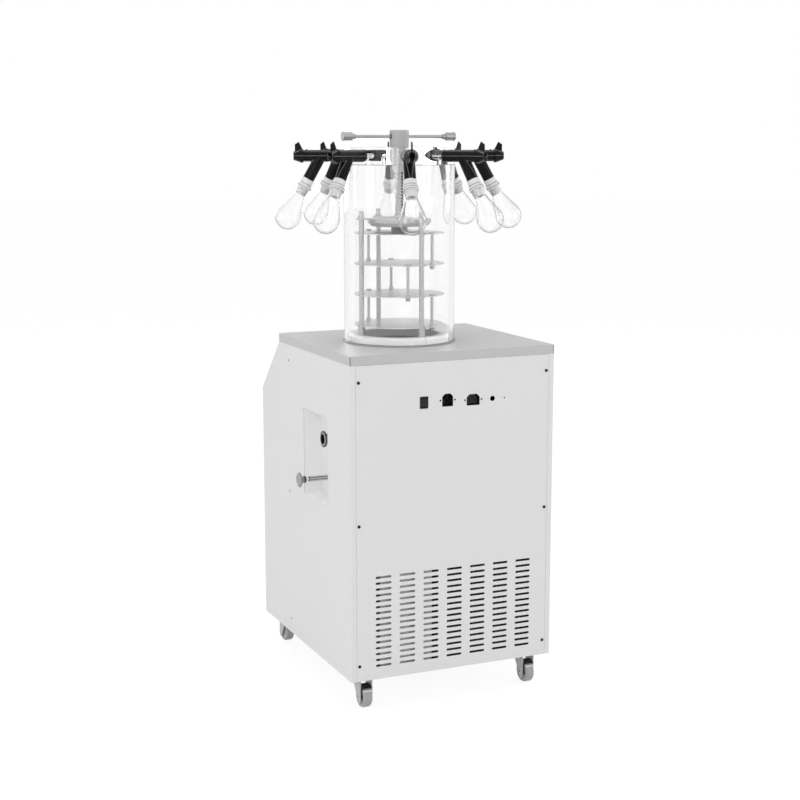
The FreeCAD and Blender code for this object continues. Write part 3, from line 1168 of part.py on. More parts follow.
def rack_bridge():
    """The fixed bridge over the top shelf: bevelled pad, armed plate, boss and a bush at each post."""
    pad_top = PAD_Z + PAD_THICKNESS
    plate1 = pad_top + 2.0
    plate0 = plate1 - BRIDGE_PLATE
    bush0 = POST_TOP_Z - CAP_HEIGHT - BUSH_LENGTH - REST_GAP
    pad = turned([(0, PAD_Z), (PAD_R - PAD_BEVEL, PAD_Z), (PAD_R, PAD_Z + PAD_BEVEL),
                  (PAD_R, pad_top), (0, pad_top)])
    pieces = [pad, rod(BRIDGE_BOSS_R, pad_top - 1, pad_top + BRIDGE_BOSS)]
    bores = [rod(SCREW_R + REST_GAP, PAD_Z - 1, pad_top + BRIDGE_BOSS + 1)]
    for angle in POST_ANGLES:
        arm = fuse([box(0, POST_CIRCLE_R, -BRIDGE_ARM / 2, BRIDGE_ARM / 2, plate0, plate1),
                    rod(BRIDGE_ARM / 2, plate0, plate1, POST_CIRCLE_R, 0),
                    rod(BUSH_R, bush0, bush0 + BUSH_LENGTH, POST_CIRCLE_R, 0)])
        pieces.append(turned_by(arm, angle))
        x, y = around(angle, POST_CIRCLE_R)
        bores.append(rod(POST_R + SEAT_GAP, bush0 - 1, bush0 + BUSH_LENGTH + 1, x, y))
    return on_chamber(fuse(pieces).cut(Part.makeCompound(bores)))


# ---------------------------------------------------------------- write every node
total = []
names = []
os.makedirs("parts", exist_ok=True)

save("base_pan", base_pan())
save("side_panel_right", side_panel(False))
save("side_panel_left", side_panel(True))
save("rear_panel", rear_panel())
save("front_panel", front_panel())
save("worktop", worktop())
save("recess_box", recess_box())
save("panel_screws", panel_screws())
save("touch_screen", touch_screen())
save("rocker_frame", rocker_frame())
save("power_rocker", power_rocker())
save("inlet_socket", socket(INLET_X, INLET_Z, INLET_WIDTH, INLET_HEIGHT, True))
save("outlet_socket", socket(OUTLET_X, OUTLET_Z, OUTLET_WIDTH, OUTLET_HEIGHT, False))

save("cold_trap", cold_trap())
save("trap_jacket", trap_jacket())
save("vacuum_port", vacuum_port())
save("drain_valve", drain_valve())
save("drain_knob", drain_knob())
save("control_box", control_box())
save("condenser", condenser())
save("fan_frame", fan_frame())
save("fan_rotor", fan_rotor())
save("compressor", compressor())

for number, (x, y, trail) in enumerate(caster_places(), start=1):
    for name, piece in (("caster_fork", caster_fork()), ("caster_wheel", caster_wheel())):
        placed = piece if trail > 0 else turned_by(piece, 180)
        save(name + "_" + str(number), moved(placed, x, y))

save("collar_ring", collar_ring())
save("lower_seal", lower_seal())
save("chamber_tube", chamber_tube())
save("upper_seal", upper_seal())
save("lid", lid())
save("valve_bodies", all_round(valve_body()))
for number, angle in enumerate(VALVE_ANGLES, start=1):
    save("valve_plug_" + str(number), on_chamber(turned_by(valve_plug(), angle)))
save("stoppers", all_round(stopper()))
save("flasks", all_round(flask()))

save("press_head", press_head())
save("t_bar", t_bar())
save("press_screw", press_screw())
save("press_foot", press_foot())
save("shelf_1", shelf(0, GUIDE_GAP, OUTER_HANGERS))
save("shelf_2", shelf(1, GUIDE_GAP, OUTER_HANGERS + MIDDLE_HANGERS))
save("hanger_rods_2", hanger_rods(1, OUTER_HANGERS))
save("shelf_3", shelf(2, GUIDE_GAP, MIDDLE_HANGERS + OUTER_HANGERS))
save("hanger_rods_3", hanger_rods(2, MIDDLE_HANGERS))
save("shelf_4", shelf(3, GUIDE_GAP, OUTER_HANGERS))
save("hanger_rods_4", hanger_rods(3, OUTER_HANGERS))
save("rack_posts", rack_posts())
save("rack_bridge", rack_bridge())

bounds = Part.makeCompound(total).BoundBox
print(len(names), "nodes")
print("bounds x %.2f..%.2f y %.2f..%.2f z %.2f..%.2f" % (
    bounds.XMin, bounds.XMax, bounds.YMin, bounds.YMax, bounds.ZMin, bounds.ZMax))
for name, shape in zip(names, total):
    if not shape.isValid() or any(s.Volume <= 0 for s in shape.Solids) or not shape.Solids:
        print("CHECK", name, shape.isValid(), len(shape.Solids))
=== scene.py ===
# %% [markdown]
# # A laboratory freeze dryer on casters
# The machine is a steel cabinet with a cold trap sunk in its worktop. A clear tube stands over the trap, with a rack
# of shelves inside it and eight flasks hung on valves round its lid. The exact shapes come from the imported model, so
# this lesson is about finishes, small trim and light. Loading comes first, and the size of the model is kept to write
# down beside the dressed model's size at the end.

# %% Load the imported model
import json
import math

import bmesh
import bpy
from mathutils import Vector
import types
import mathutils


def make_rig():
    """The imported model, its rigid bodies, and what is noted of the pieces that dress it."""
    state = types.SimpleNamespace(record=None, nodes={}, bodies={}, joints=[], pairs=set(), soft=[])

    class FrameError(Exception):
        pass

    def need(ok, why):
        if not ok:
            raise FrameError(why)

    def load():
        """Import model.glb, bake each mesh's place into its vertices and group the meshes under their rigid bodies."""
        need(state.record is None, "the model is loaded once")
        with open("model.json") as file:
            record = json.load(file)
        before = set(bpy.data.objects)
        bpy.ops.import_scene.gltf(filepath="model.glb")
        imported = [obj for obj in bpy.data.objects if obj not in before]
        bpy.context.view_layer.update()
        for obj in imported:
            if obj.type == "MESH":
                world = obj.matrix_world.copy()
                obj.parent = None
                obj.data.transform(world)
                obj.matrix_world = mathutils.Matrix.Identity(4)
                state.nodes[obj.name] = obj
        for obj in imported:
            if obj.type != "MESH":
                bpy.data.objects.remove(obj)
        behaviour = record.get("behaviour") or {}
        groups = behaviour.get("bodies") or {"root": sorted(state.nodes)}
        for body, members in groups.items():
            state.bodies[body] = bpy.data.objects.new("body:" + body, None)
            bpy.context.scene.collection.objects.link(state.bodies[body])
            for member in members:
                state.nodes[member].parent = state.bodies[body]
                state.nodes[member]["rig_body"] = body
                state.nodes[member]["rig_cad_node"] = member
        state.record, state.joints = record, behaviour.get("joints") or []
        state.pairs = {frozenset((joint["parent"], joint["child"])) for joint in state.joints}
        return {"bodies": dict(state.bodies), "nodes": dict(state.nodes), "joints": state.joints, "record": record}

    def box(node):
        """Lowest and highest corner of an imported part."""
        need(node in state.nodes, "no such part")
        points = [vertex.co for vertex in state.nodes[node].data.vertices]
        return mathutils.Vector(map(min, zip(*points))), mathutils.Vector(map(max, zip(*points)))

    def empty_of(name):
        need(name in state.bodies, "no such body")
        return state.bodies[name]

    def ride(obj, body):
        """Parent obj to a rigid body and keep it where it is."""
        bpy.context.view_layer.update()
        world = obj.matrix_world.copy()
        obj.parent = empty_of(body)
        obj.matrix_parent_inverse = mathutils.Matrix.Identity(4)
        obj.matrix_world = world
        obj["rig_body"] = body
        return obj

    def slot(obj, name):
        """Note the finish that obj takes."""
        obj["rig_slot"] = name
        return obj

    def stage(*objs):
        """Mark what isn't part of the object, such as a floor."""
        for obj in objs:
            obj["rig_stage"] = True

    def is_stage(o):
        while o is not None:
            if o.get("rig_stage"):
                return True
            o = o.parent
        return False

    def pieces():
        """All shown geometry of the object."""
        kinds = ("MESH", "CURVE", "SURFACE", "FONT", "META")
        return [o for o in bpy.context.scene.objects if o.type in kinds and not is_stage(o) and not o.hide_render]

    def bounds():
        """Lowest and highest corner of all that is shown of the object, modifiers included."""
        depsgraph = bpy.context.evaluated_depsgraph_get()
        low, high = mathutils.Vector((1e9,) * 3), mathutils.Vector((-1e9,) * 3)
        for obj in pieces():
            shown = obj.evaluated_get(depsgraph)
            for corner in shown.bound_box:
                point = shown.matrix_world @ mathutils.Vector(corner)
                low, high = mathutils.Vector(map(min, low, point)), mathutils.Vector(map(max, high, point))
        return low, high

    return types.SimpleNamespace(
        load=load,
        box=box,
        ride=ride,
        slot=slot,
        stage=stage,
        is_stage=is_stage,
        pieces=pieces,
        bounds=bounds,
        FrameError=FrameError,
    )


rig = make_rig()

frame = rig.load()
cad_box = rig.bounds()
print("bodies:", len(frame["bodies"]), "nodes:", len(frame["nodes"]))
print("size in metres:", [round(high - low, 4) for low, high in zip(*cad_box)])

# %% [markdown]
# ## Shader maths written as Python
# A finish is a small calculation for each point of a surface: a noise times a strength, plus a
# colour. Wiring that by hand takes a node for each sign. One class wraps a socket and gives it the
# signs + - * / and the comparisons, so the calculation reads as a line of Python and the nodes are
# made behind it. The signs | and & take the larger and the smaller, which joins and crosses masks.

# %% A socket that Python's signs work on
class Value:
    """A number that changes over a surface. Each sign on it adds one Math node."""

    def __init__(self, finish, socket):
        self.finish = finish
        self.socket = socket

    def maths(self, operation, *terms):
        return self.finish.node("ShaderNodeMath", {"operation": operation}, dict(enumerate(terms)))

    def __add__(self, other):
        return self.maths("ADD", self, other)

    def __radd__(self, other):
        return self.maths("ADD", other, self)

    def __sub__(self, other):
        return self.maths("SUBTRACT", self, other)

    def __rsub__(self, other):
        return self.maths("SUBTRACT", other, self)

    def __mul__(self, other):
        return self.maths("MULTIPLY", self, other)

    def __rmul__(self, other):
        return self.maths("MULTIPLY", other, self)

    def __truediv__(self, other):
        return self.maths("DIVIDE", self, other)

    def __pow__(self, other):
        return self.maths("POWER", self, other)

    def __lt__(self, other):
        return self.maths("LESS_THAN", self, other)

    def __gt__(self, other):
        return self.maths("GREATER_THAN", self, other)

    def __or__(self, other):
        return self.maths("MAXIMUM", self, other)

    def __and__(self, other):
        return self.maths("MINIMUM", self, other)

    def size(self):
        return self.maths("ABSOLUTE", self)

    def whole(self):
        return self.maths("ROUND", self)

    def hypotenuse(self, other):
        """The length of the diagonal over two sides."""
        return (self * self + other * other) ** 0.5

    def sine(self):
        return self.maths("SINE", self)

    def cosine(self):
        return self.maths("COSINE", self)

    def bearing(self, across):
        """The angle of the point (across, self) round the origin, in radians."""
        return self.maths("ARCTAN2", self, across)


# %% [markdown]
# A finish holds one material. It has one method that makes any node: the node's type, then its own
# settings, then what goes into its sockets. Colours and vectors are mixed by Mix and Vector Math
# nodes, because a Math node would turn a colour grey.

# %% A finish and its one node maker
SQUARE = 0.7


class Finish:
    """One material, built round a Principled shader."""

    def __init__(self, name):
        self.material = bpy.data.materials.new(name)
        self.material.use_nodes = True
        self.tree = self.material.node_tree
        self.tree.nodes.clear()
        self.places = {}

    def node(self, kind, settings=None, sockets=None, gives=0):
        """Makes a node: settings first, then the values or links of its sockets."""
        made = self.tree.nodes.new(kind)
        for name, setting in (settings or {}).items():
            setattr(made, name, setting)
        for name, given in (sockets or {}).items():
            if isinstance(given, Value):
                self.tree.links.new(given.socket, made.inputs[name])
            else:
                made.inputs[name].default_value = given
        return Value(self, made.outputs[gives]) if len(made.outputs) else made

    def place(self, axis=None):
        """Where a point lies on the machine, in metres: all of it, or one of X, Y and Z."""
        if "place" not in self.places:
            self.places["place"] = self.node("ShaderNodeTexCoord", gives="Object")
        if axis is None:
            return self.places["place"]
        if "split" not in self.places:
            self.places["split"] = self.node("ShaderNodeSeparateXYZ", {}, {0: self.place()})
        split = self.places["split"].socket.node
        return Value(self, split.outputs[axis])

    def facing(self, axis):
        """How far the surface points along X, Y or Z, between -1 and 1."""
        normal = self.node("ShaderNodeNewGeometry", gives="Normal")
        return self.node("ShaderNodeSeparateXYZ", {}, {0: normal}, gives=axis)

    def squarely(self, axis):
        """The mask of what points along +X, +Y or +Z."""
        return self.facing(axis) > SQUARE

    def blend(self, share, first, second):
        """One colour turning into another as share goes from 0 to 1."""
        return self.node("ShaderNodeMix", {"data_type": "RGBA"},
                         {"Factor": share, 6: first, 7: second}, gives=2)

    def shader(self, **sockets):
        """The Principled shader, with its sockets named in words joined by underscores."""
        named = {name.replace("_", " ").title().replace("Ior", "IOR"): given
                 for name, given in sockets.items()}
        return self.node("ShaderNodeBsdfPrincipled", {}, named)

    def finished(self, shader):
        self.node("ShaderNodeOutputMaterial", {}, {"Surface": shader})
        print("finish:", self.material.name, "with", len(self.tree.nodes), "nodes")
        return self.material


# %% [markdown]
# ## Patterns that several finishes share
# Real surfaces are never even. Three patterns cover most of this machine: a soft mottle, fine
# grains or scratches drawn out along one direction, and a bump that follows either.

# %% Mottle, grain and bump
def grey(level, warmth=0.0):
    """A colour of one brightness, a little warmer or cooler."""
    return (level * (1 + warmth), level, level * (1 - warmth), 1.0)


def mottle(finish, per_metre, detail=3.0):
    """Soft cloudy noise between 0 and 1."""
    return finish.node("ShaderNodeTexNoise", {},
                       {"Vector": finish.place(), "Scale": per_metre, "Detail": detail})


def drawn_grain(finish, per_metre, stretch):
    """Noise pulled out into lines: stretch holds the grain's fineness along X, Y and Z."""
    pulled = finish.node("ShaderNodeVectorMath", {"operation": "MULTIPLY"},
                         {0: finish.place(), 1: stretch})
    return finish.node("ShaderNodeTexNoise", {}, {"Vector": pulled, "Scale": per_metre, "Detail": 4.0})


def bump(finish, height, distance, strength=0.5):
    """Turns a height into a bumped normal. The distance is how deep a full step is, in metres."""
    return finish.node("ShaderNodeBump", {},
                       {"Height": height, "Distance": distance, "Strength": strength})


def dressed(material, *nodes):
    """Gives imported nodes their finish."""
    for name in nodes:
        slots = frame["nodes"][name].material_slots
        for slot in slots:
            slot.material = material


# %% [markdown]
# ## Powder-coated cabinet
# The cabinet is folded sheet steel, powder coated in off-white. Powder melts into a satin skin with a fine ripple
# called orange peel. A noise with cells about 2 mm wide, used as a very shallow bump, gives that ripple, and a slow
# mottle keeps the big panels from looking like flat card. The panels are off-white on the outside only. Inside, and on
# the cut edges of the louvres, they are painted black, a painted shade that keeps the slots dark. A point is inside
# when it lies deeper than the skin of the cabinet. That test takes the cabinet for a plain box, so the side panels'
# edges along the console's slope count as inside too, and come out black. The recess box is painted lighter than the
# cabinet, and lighter still on its floor and its far side. This is painted light against the shade in the recess, and
# it keeps the fittings in it easy to see.

# %% Cabinet paint
SHEET_SKIN = 0.0014
LOUVRE_SKIN = 0.0003
LEFT_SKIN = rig.box("side_panel_left")[0].x + SHEET_SKIN
RIGHT_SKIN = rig.box("side_panel_right")[1].x - SHEET_SKIN
FRONT_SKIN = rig.box("front_panel")[0].y + SHEET_SKIN
REAR_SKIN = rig.box("rear_panel")[1].y - LOUVRE_SKIN


def inside_cabinet(finish):
    """Everything that lies deeper than the outer skin of the panels."""
    x = finish.place("X")
    y = finish.place("Y")
    return (x > LEFT_SKIN) & (x < RIGHT_SKIN) & (y < REAR_SKIN) & (y > FRONT_SKIN)


def facing_up(finish):
    """The floor of the recess."""
    return finish.squarely("Z")


def facing_rear(finish):
    """The far side of the recess."""
    return finish.squarely("Y")


def powder_coat(name, colour, roughness, *others):
    """Paint of one colour. Each of the others is a mask's function with the colour under it."""
    finish = Finish(name)
    cloud = mottle(finish, 2.6)
    peel = mottle(finish, 520.0, 2.0)
    shade = finish.blend(cloud, [c * 0.985 for c in colour[:3]] + [1.0], colour)
    for mask_of, other in others:
        shade = finish.blend(mask_of(finish), shade, other)
    return finish.finished(finish.shader(
        base_color=shade, roughness=roughness + 0.06 * (cloud - 0.5),
        specular_ior_level=0.35, normal=bump(finish, peel, 0.00006, 0.35)))


OFF_WHITE = grey(0.705, 0.002)
# Painted shade: inside the skin, the side and rear panels are painted black.
dressed(powder_coat("cabinet_powder_coat", OFF_WHITE, 0.52, (inside_cabinet, grey(0.02))),
        "side_panel_right", "side_panel_left", "rear_panel")
dressed(powder_coat("front_powder_coat", OFF_WHITE, 0.52), "front_panel", "base_pan")
# Painted light: the recess box is lighter than the cabinet, and lighter still on its floor and its far side.
dressed(powder_coat("recess_powder_coat", grey(0.78), 0.50, (facing_up, grey(0.97)),
                    (facing_rear, grey(0.89))), "recess_box")
dressed(powder_coat("control_box_paint", grey(0.80), 0.45), "control_box")

# %% [markdown]
# ## Worktop sheet
# The worktop is a grey sheet folded down at its four edges. Its top is smooth and painted lighter than the edges, a
# painted light for the overhead light it catches. The folded edges keep a coarser mill grain and are painted a shade
# darker, and the edge that faces +Y is darker still: painted shade. The surface's own direction tells them apart: on
# the top it points straight up. At the corners two folds meet in an open seam, a dark line from just below the top
# down to the lip's edge.

# %% Worktop
SEAM = 0.0012
SEAM_START = 0.0020
low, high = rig.box("worktop")
centre = (low + high) / 2
half = (high - low) / 2
sheet = Finish("worktop_sheet")
on_top = sheet.squarely("Z")
on_rear = sheet.squarely("Y")
speckle = mottle(sheet, 420.0, 2.0)
cloud = mottle(sheet, 6.0)
corner_x = (sheet.place("X") - centre.x).size() > half.x - SEAM
corner_y = (sheet.place("Y") - centre.y).size() > half.y - SEAM
seam = corner_x & corner_y & (sheet.place("Z") < high.z - SEAM_START)
# Painted light and shade: the top is lighter than the edges, and the edge that faces +Y is darkest.
edge_grey = sheet.blend(on_rear, grey(0.500), grey(0.465))
sheet_grey = sheet.blend(on_top, edge_grey, grey(0.585))
speckled = sheet.blend((speckle - 0.38) * 0.55 * (1 - 0.7 * on_top), sheet_grey, grey(0.68))
clouded = sheet.blend(cloud * 0.12, speckled, grey(0.50))
seamed = sheet.blend(seam, clouded, grey(0.02))
dressed(sheet.finished(sheet.shader(
    base_color=seamed, metallic=0.25, roughness=0.42 + 0.1 * speckle,
    normal=bump(sheet, speckle, 0.00008, 0.4))), "worktop")

# %% [markdown]
# ## Stainless steel
# The shelves, the posts, the hanger rods, the T-bar and the trap are stainless steel. Turned parts
# carry fine rings round their axis and rolled sheet carries straight lines. Both are noise pulled
# out along the way the metal was worked. The lines go into the roughness and into a bump that is
# microns deep.

# %% Stainless finishes
LINES_PER_METRE = 900.0


def stainless(name, level, roughness, stretch):
    """Bare steel. The stretch is short along the way the metal was worked."""
    finish = Finish(name)
    grain = drawn_grain(finish, LINES_PER_METRE, stretch)
    cloud = mottle(finish, 14.0)
    tone = finish.blend(grain * 0.5 + cloud * 0.3, grey(level * 0.9), grey(level * 1.06))
    return finish.finished(finish.shader(
        base_color=tone, metallic=1.0, roughness=roughness + 0.12 * (grain - 0.5),
        normal=bump(finish, grain, 0.00003, 0.3)))


dressed(stainless("rolled_stainless", 0.58, 0.36, (1.0, 0.04, 1.0)),
        "shelf_1", "shelf_2", "shelf_3", "shelf_4")
dressed(stainless("turned_stainless", 0.42, 0.40, (0.08, 0.08, 1.0)),
        "rack_posts", "hanger_rods_2", "hanger_rods_3", "hanger_rods_4", "t_bar")
# Painted shade: the trap's steel is a darker copy of the stainless, for the shade in its deep well.
dressed(stainless("shaded_trap_stainless", 0.34, 0.36, (0.06, 0.06, 1.0)), "cold_trap")

# %% [markdown]
# Much of the machine is round, so many finishes ask how a point lies to the chamber's axis. The lid
# is centred on that axis, and its box gives both the axis and the rim.

# %% The chamber's axis
low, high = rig.box("lid")
axis_x = (low.x + high.x) / 2
axis_y = (low.y + high.y) / 2
rim = (high.x - low.x) / 2
lid_foot = low.z
print("chamber axis at", round(axis_x, 4), round(axis_y, 4), "lid radius", round(rim, 4))


def round_chamber(finish):
    """A point's lengths from the chamber's axis along X and along Y."""
    return finish.place("X") - axis_x, finish.place("Y") - axis_y


# %% [markdown]
# The press's head and screw and the bridge are bead blasted, so they are nearly matt: blasting leaves dents finer than
# a hair that scatter the light. The head is painted dark round the hole where the T-bar goes through, a painted shade
# in the hole. On one side of the screw the bottom of the thread is painted black, a painted shade for the dark side of
# the thread. A point's distance from the axis tells the bottom from the crest.

# %% Blasted press head and screw, with painted shade
HOLE_RIM = 0.0058
THREAD_BOTTOM = 0.0105
SHADED_SIDE = math.radians(156)
SHADED_SPREAD = math.radians(62)


def around_bar(finish):
    """The rim of the hole that the T-bar goes through."""
    low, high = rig.box("t_bar")
    behind = finish.place("Y") - (low.y + high.y) / 2
    above = finish.place("Z") - (low.z + high.z) / 2
    return behind.hypotenuse(above) < HOLE_RIM


def painted_thread_shade(finish):
    """The bottom of the thread on one side, painted black as shade."""
    across, along = round_chamber(finish)
    side = (along.bearing(across) - SHADED_SIDE).size() < SHADED_SPREAD
    return (across.hypotenuse(along) < THREAD_BOTTOM) & side


def blasted(name, painted_shade_part=None):
    """Matt steel. The given function makes the mask of what is painted near black as shade."""
    finish = Finish(name)
    dents = mottle(finish, 1500.0, 2.0)
    tone = finish.blend(mottle(finish, 30.0), grey(0.43), grey(0.50))
    if painted_shade_part:
        tone = finish.blend(painted_shade_part(finish), tone, grey(0.012))
    return finish.finished(finish.shader(
        base_color=tone, metallic=0.30, roughness=0.58 + 0.1 * dents,
        normal=bump(finish, dents, 0.00003, 0.4)))


dressed(blasted("press_head_blasted", around_bar), "press_head")
dressed(blasted("press_screw_blasted", painted_thread_shade), "press_screw")
dressed(blasted("bridge_blasted"), "rack_bridge")

# %% [markdown]
# ## Clear acrylic and flask glass
# The tube and the lid are thick cast acrylic, and the flasks are thin blown glass. Clear things are
# seen by their edges: looked at along the wall, light crosses more material and comes out greyer.
# Layer Weight's facing value is 0 where a surface faces the eye and 1 at its outline, so a power of
# it tints only the outline. Divided by a fill below 1, it reaches its full tint before the outline,
# and the grey line gets wider. A thin blown wall hardly bends light, so the flasks get an index
# close to 1 and a clear coat for the gloss, while the thick acrylic keeps its true index. Lamps
# would cast black shadows through a Principled glass, so a Transparent shader takes over for
# shadow rays.

# %% Clear finishes
CLEAR = grey(0.985)


def clear(name, outline, fill, power, index, coat):
    """A clear solid: how grey its outline is, how wide and how soft, its index and its coat."""
    finish = Finish(name)
    facing = finish.node("ShaderNodeLayerWeight", {}, {"Blend": 0.5}, gives="Facing")
    haze = mottle(finish, 30.0, 2.0)
    edge = ((facing / fill) & 1.0) ** power
    tint = finish.blend(edge * (0.85 + 0.3 * haze), CLEAR, grey(outline))
    glass = finish.shader(base_color=tint, transmission_weight=1.0, ior=index, roughness=0.0,
                          coat_weight=coat, coat_roughness=0.03)
    opened = finish.node("ShaderNodeBsdfTransparent", {}, {"Color": grey(0.97)})
    lamps = finish.node("ShaderNodeLightPath", gives="Is Shadow Ray")
    return finish.finished(finish.node("ShaderNodeMixShader", {}, {0: lamps, 1: glass, 2: opened}))


dressed(clear("tube_acrylic", 0.40, 0.95, 6.0, 1.49, 0.0), "chamber_tube")
dressed(clear("lid_acrylic", 0.66, 1.0, 4.0, 1.49, 0.0), "lid")
dressed(clear("blown_glass", 0.66, 0.72, 4.0, 1.04, 0.5), "flasks")

# %% [markdown]
# ## Moulded rubber and plastic
# The seals, the press foot, the sockets, the fan and the wheels are moulded. A moulded skin shows
# the fine spark-eroded grain of its mould: a small noise drives a shallow bump, and the roughness
# rises and falls with it. The foam round the trap has the same kind of skin, only coarser.

# %% Moulded finishes
MOULD_GRAIN = 1400.0


def moulded(name, colour, roughness, grain_per_metre=MOULD_GRAIN, depth=0.00005, shine=0.5):
    """Plastic or rubber as it leaves its mould."""
    finish = Finish(name)
    grain = mottle(finish, grain_per_metre, 2.0)
    cloud = mottle(finish, 22.0)
    shade = finish.blend(cloud, [c * 0.88 for c in colour[:3]] + [1.0], colour)
    return finish.finished(finish.shader(
        base_color=shade, roughness=roughness + 0.12 * (grain - 0.5), specular_ior_level=shine,
        normal=bump(finish, grain, depth, 0.4)))


def numbered(name, count):
    """The names of like nodes: the same word with the numbers from 1."""
    return ["%s_%d" % (name, k) for k in range(1, count + 1)]


CASTERS = 4
dressed(moulded("seal_silicone", grey(0.34), 0.4), "lower_seal", "upper_seal")
dressed(moulded("socket_plastic", grey(0.010), 0.45, shine=0.25), "rocker_frame", "power_rocker",
        "inlet_socket", "outlet_socket", "fan_frame", "fan_rotor")
dressed(moulded("foot_plastic", grey(0.14), 0.45), "press_foot")
dressed(moulded("insulation_foam", grey(0.02), 0.9, 320.0, 0.0006), "trap_jacket")
dressed(moulded("caster_tread", grey(0.37, -0.01), 0.32), *numbered("caster_wheel", CASTERS))
# Plain black for the side sheets, a painted shade between wheel and fork.
painted_shade_black = moulded("painted_shade_black", grey(0.012), 0.5, shine=0.15)

# %% [markdown]
# The fork plates are moulded too, with the dark end of the axle in each. The casters stand the same way at all four
# corners, so a point's height and its distance from the machine's middle plane give its place round the nearest axle,
# and one finish does for all forks. The hood's painted shade and highlight use the same place.

# %% Caster forks
AXLE_END = 0.0026
low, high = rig.box("caster_wheel_1")
wheel_axle = (low + high) / 2


def round_axle(finish):
    """Lengths from the nearest wheel's axle: outward along Y, and up."""
    return finish.place("Y").size() - abs(wheel_axle.y), finish.place("Z") - wheel_axle.z


fork = Finish("caster_fork_grey")
outward, above = round_axle(fork)
grain = mottle(fork, MOULD_GRAIN, 2.0)
axle_end = outward.hypotenuse(above) < AXLE_END
plate_tone = fork.blend(mottle(fork, 22.0), grey(0.40, -0.01), grey(0.46, -0.01))
fork_tone = fork.blend(axle_end, plate_tone, grey(0.03))
dressed(fork.finished(fork.shader(
    base_color=fork_tone, roughness=0.30 + 0.12 * grain,
    normal=bump(fork, grain, 0.00005, 0.4))), *numbered("caster_fork", CASTERS))

# %% [markdown]
# ## Valves and stoppers, told apart by their own directions
# Eight valves stand round the lid, so one finish has to work at eight angles. The point's bearing
# round the chamber's axis is divided by an eighth of a turn, and the rest after rounding is its
# angle from the nearest valve. That gives three lengths that are the same for every valve: how far
# out it lies, how far to the side, and how far above the valve's axis. A turn by the branch's angle
# makes two more: how far down the branch, and how far off it.

# %% Places on a valve
VALVES = 8
FIRST_VALVE = math.radians(27.75)
SHARE_OF_TURN = math.radians(360 / VALVES)
VALVE_RISE = 0.018
VALVE_HEIGHT = lid_foot + VALVE_RISE
VALVE_REACH = 0.049
BRANCH_ROOT = rim + VALVE_REACH
BRANCH_LEAN = math.radians(29)
print("valves at height", round(VALVE_HEIGHT, 4))


def on_valve(finish):
    """Lengths on the nearest valve: outward, aside, up, down the branch and off the branch."""
    across, along = round_chamber(finish)
    reach = across.hypotenuse(along)
    turns = (along.bearing(across) - FIRST_VALVE) / SHARE_OF_TURN
    angle = (turns - turns.whole()) * SHARE_OF_TURN
    outward = reach * angle.cosine()
    aside = reach * angle.sine()
    up = finish.place("Z") - VALVE_HEIGHT
    past_root = outward - BRANCH_ROOT
    down = past_root * math.sin(BRANCH_LEAN) - up * math.cos(BRANCH_LEAN)
    off = past_root * math.cos(BRANCH_LEAN) + up * math.sin(BRANCH_LEAN)
    return outward, aside, up, down, off


# %% [markdown]
# The valves are black rubber. What faces up is painted grey, a painted reflection of the light from above. A painted
# highlight line runs along each side of the barrel, and two more run together down the branch's outer face; each line
# is also a slight ridge in the bump. The ends are rougher than the sides, where hands have worn them. The short sleeve
# inside the lid is painted pale, a painted light for the brightness seen through the lid's edge.

# %% Valve rubber
GLINT = 0.0007
SIDE_GLINT = 0.0006
CLEAR_OF_AXIS = 0.009
BRANCH_START = 0.014
BRANCH_FACE = 0.004
GLINT_HALF_GAP = 0.0085
GLINT_NARROWS = 0.15
SHEEN_FROM = 0.62
SHEEN_RISE = 3.0
END_ON = 0.9

valve = Finish("valve_rubber")
outward, aside, up, down, off = on_valve(valve)
# Painted reflection: what faces up is painted grey.
painted_sheen = ((valve.facing("Z") - SHEEN_FROM) * SHEEN_RISE | 0.0) & 1.0
grain = mottle(valve, 900.0, 2.0)
# Painted highlight lines, along the barrel and down the branch.
side_line = (up.size() < SIDE_GLINT) & (aside.size() > CLEAR_OF_AXIS)
half_gap = GLINT_HALF_GAP - (down - BRANCH_START) * GLINT_NARROWS
front_line = ((aside.size() - half_gap).size() < GLINT) & (off > BRANCH_FACE) & (down > BRANCH_START)
glint_lines = (side_line | front_line) & (outward > rim)
across, along = round_chamber(valve)
away = (valve.facing("X") * across + valve.facing("Y") * along) / across.hypotenuse(along)
end_face = away > END_ON
sheen_tone = valve.blend(painted_sheen * (0.8 + 0.4 * grain), grey(0.004), grey(0.085))
lined = valve.blend(glint_lines * 0.9, sheen_tone, grey(0.16))
# Painted light: the sleeve inside the lid is painted pale.
sleeved = valve.blend(outward < rim, lined, grey(0.74))
dressed(valve.finished(valve.shader(
    base_color=sleeved, roughness=0.26 + 0.12 * grain + 0.5 * end_face, specular_ior_level=0.14,
    normal=bump(valve, grain + 2 * glint_lines, 0.00004, 0.4))),
        "valve_bodies", *numbered("valve_plug", VALVES))

# %% [markdown]
# The stoppers are pale silicone. Two grooves ring each of them, on the sleeve and on the flange, and are painted
# darker, a painted shade in the grooves. Below the flange the plug sits inside the flask's neck and is painted grey, a
# painted shade for the glass round it. Its end, which faces down, is painted lighter, a painted light against the
# shade under it.

# %% Stopper silicone
SLEEVE_GROOVE = 0.0687
FLANGE_GROOVE = 0.0758
GROOVE = 0.0009
PLUG_START = 0.0793

stopper = Finish("stopper_silicone")
down = on_valve(stopper)[3]
grooves = ((down - SLEEVE_GROOVE).size() < GROOVE) | ((down - FLANGE_GROOVE).size() < GROOVE)
plugged = down > PLUG_START
plug_end = plugged & (stopper.facing("Z") < -SQUARE)
cloud = mottle(stopper, 60.0)
sleeve_tone = stopper.blend(cloud, grey(0.70, 0.003), grey(0.78, 0.003))
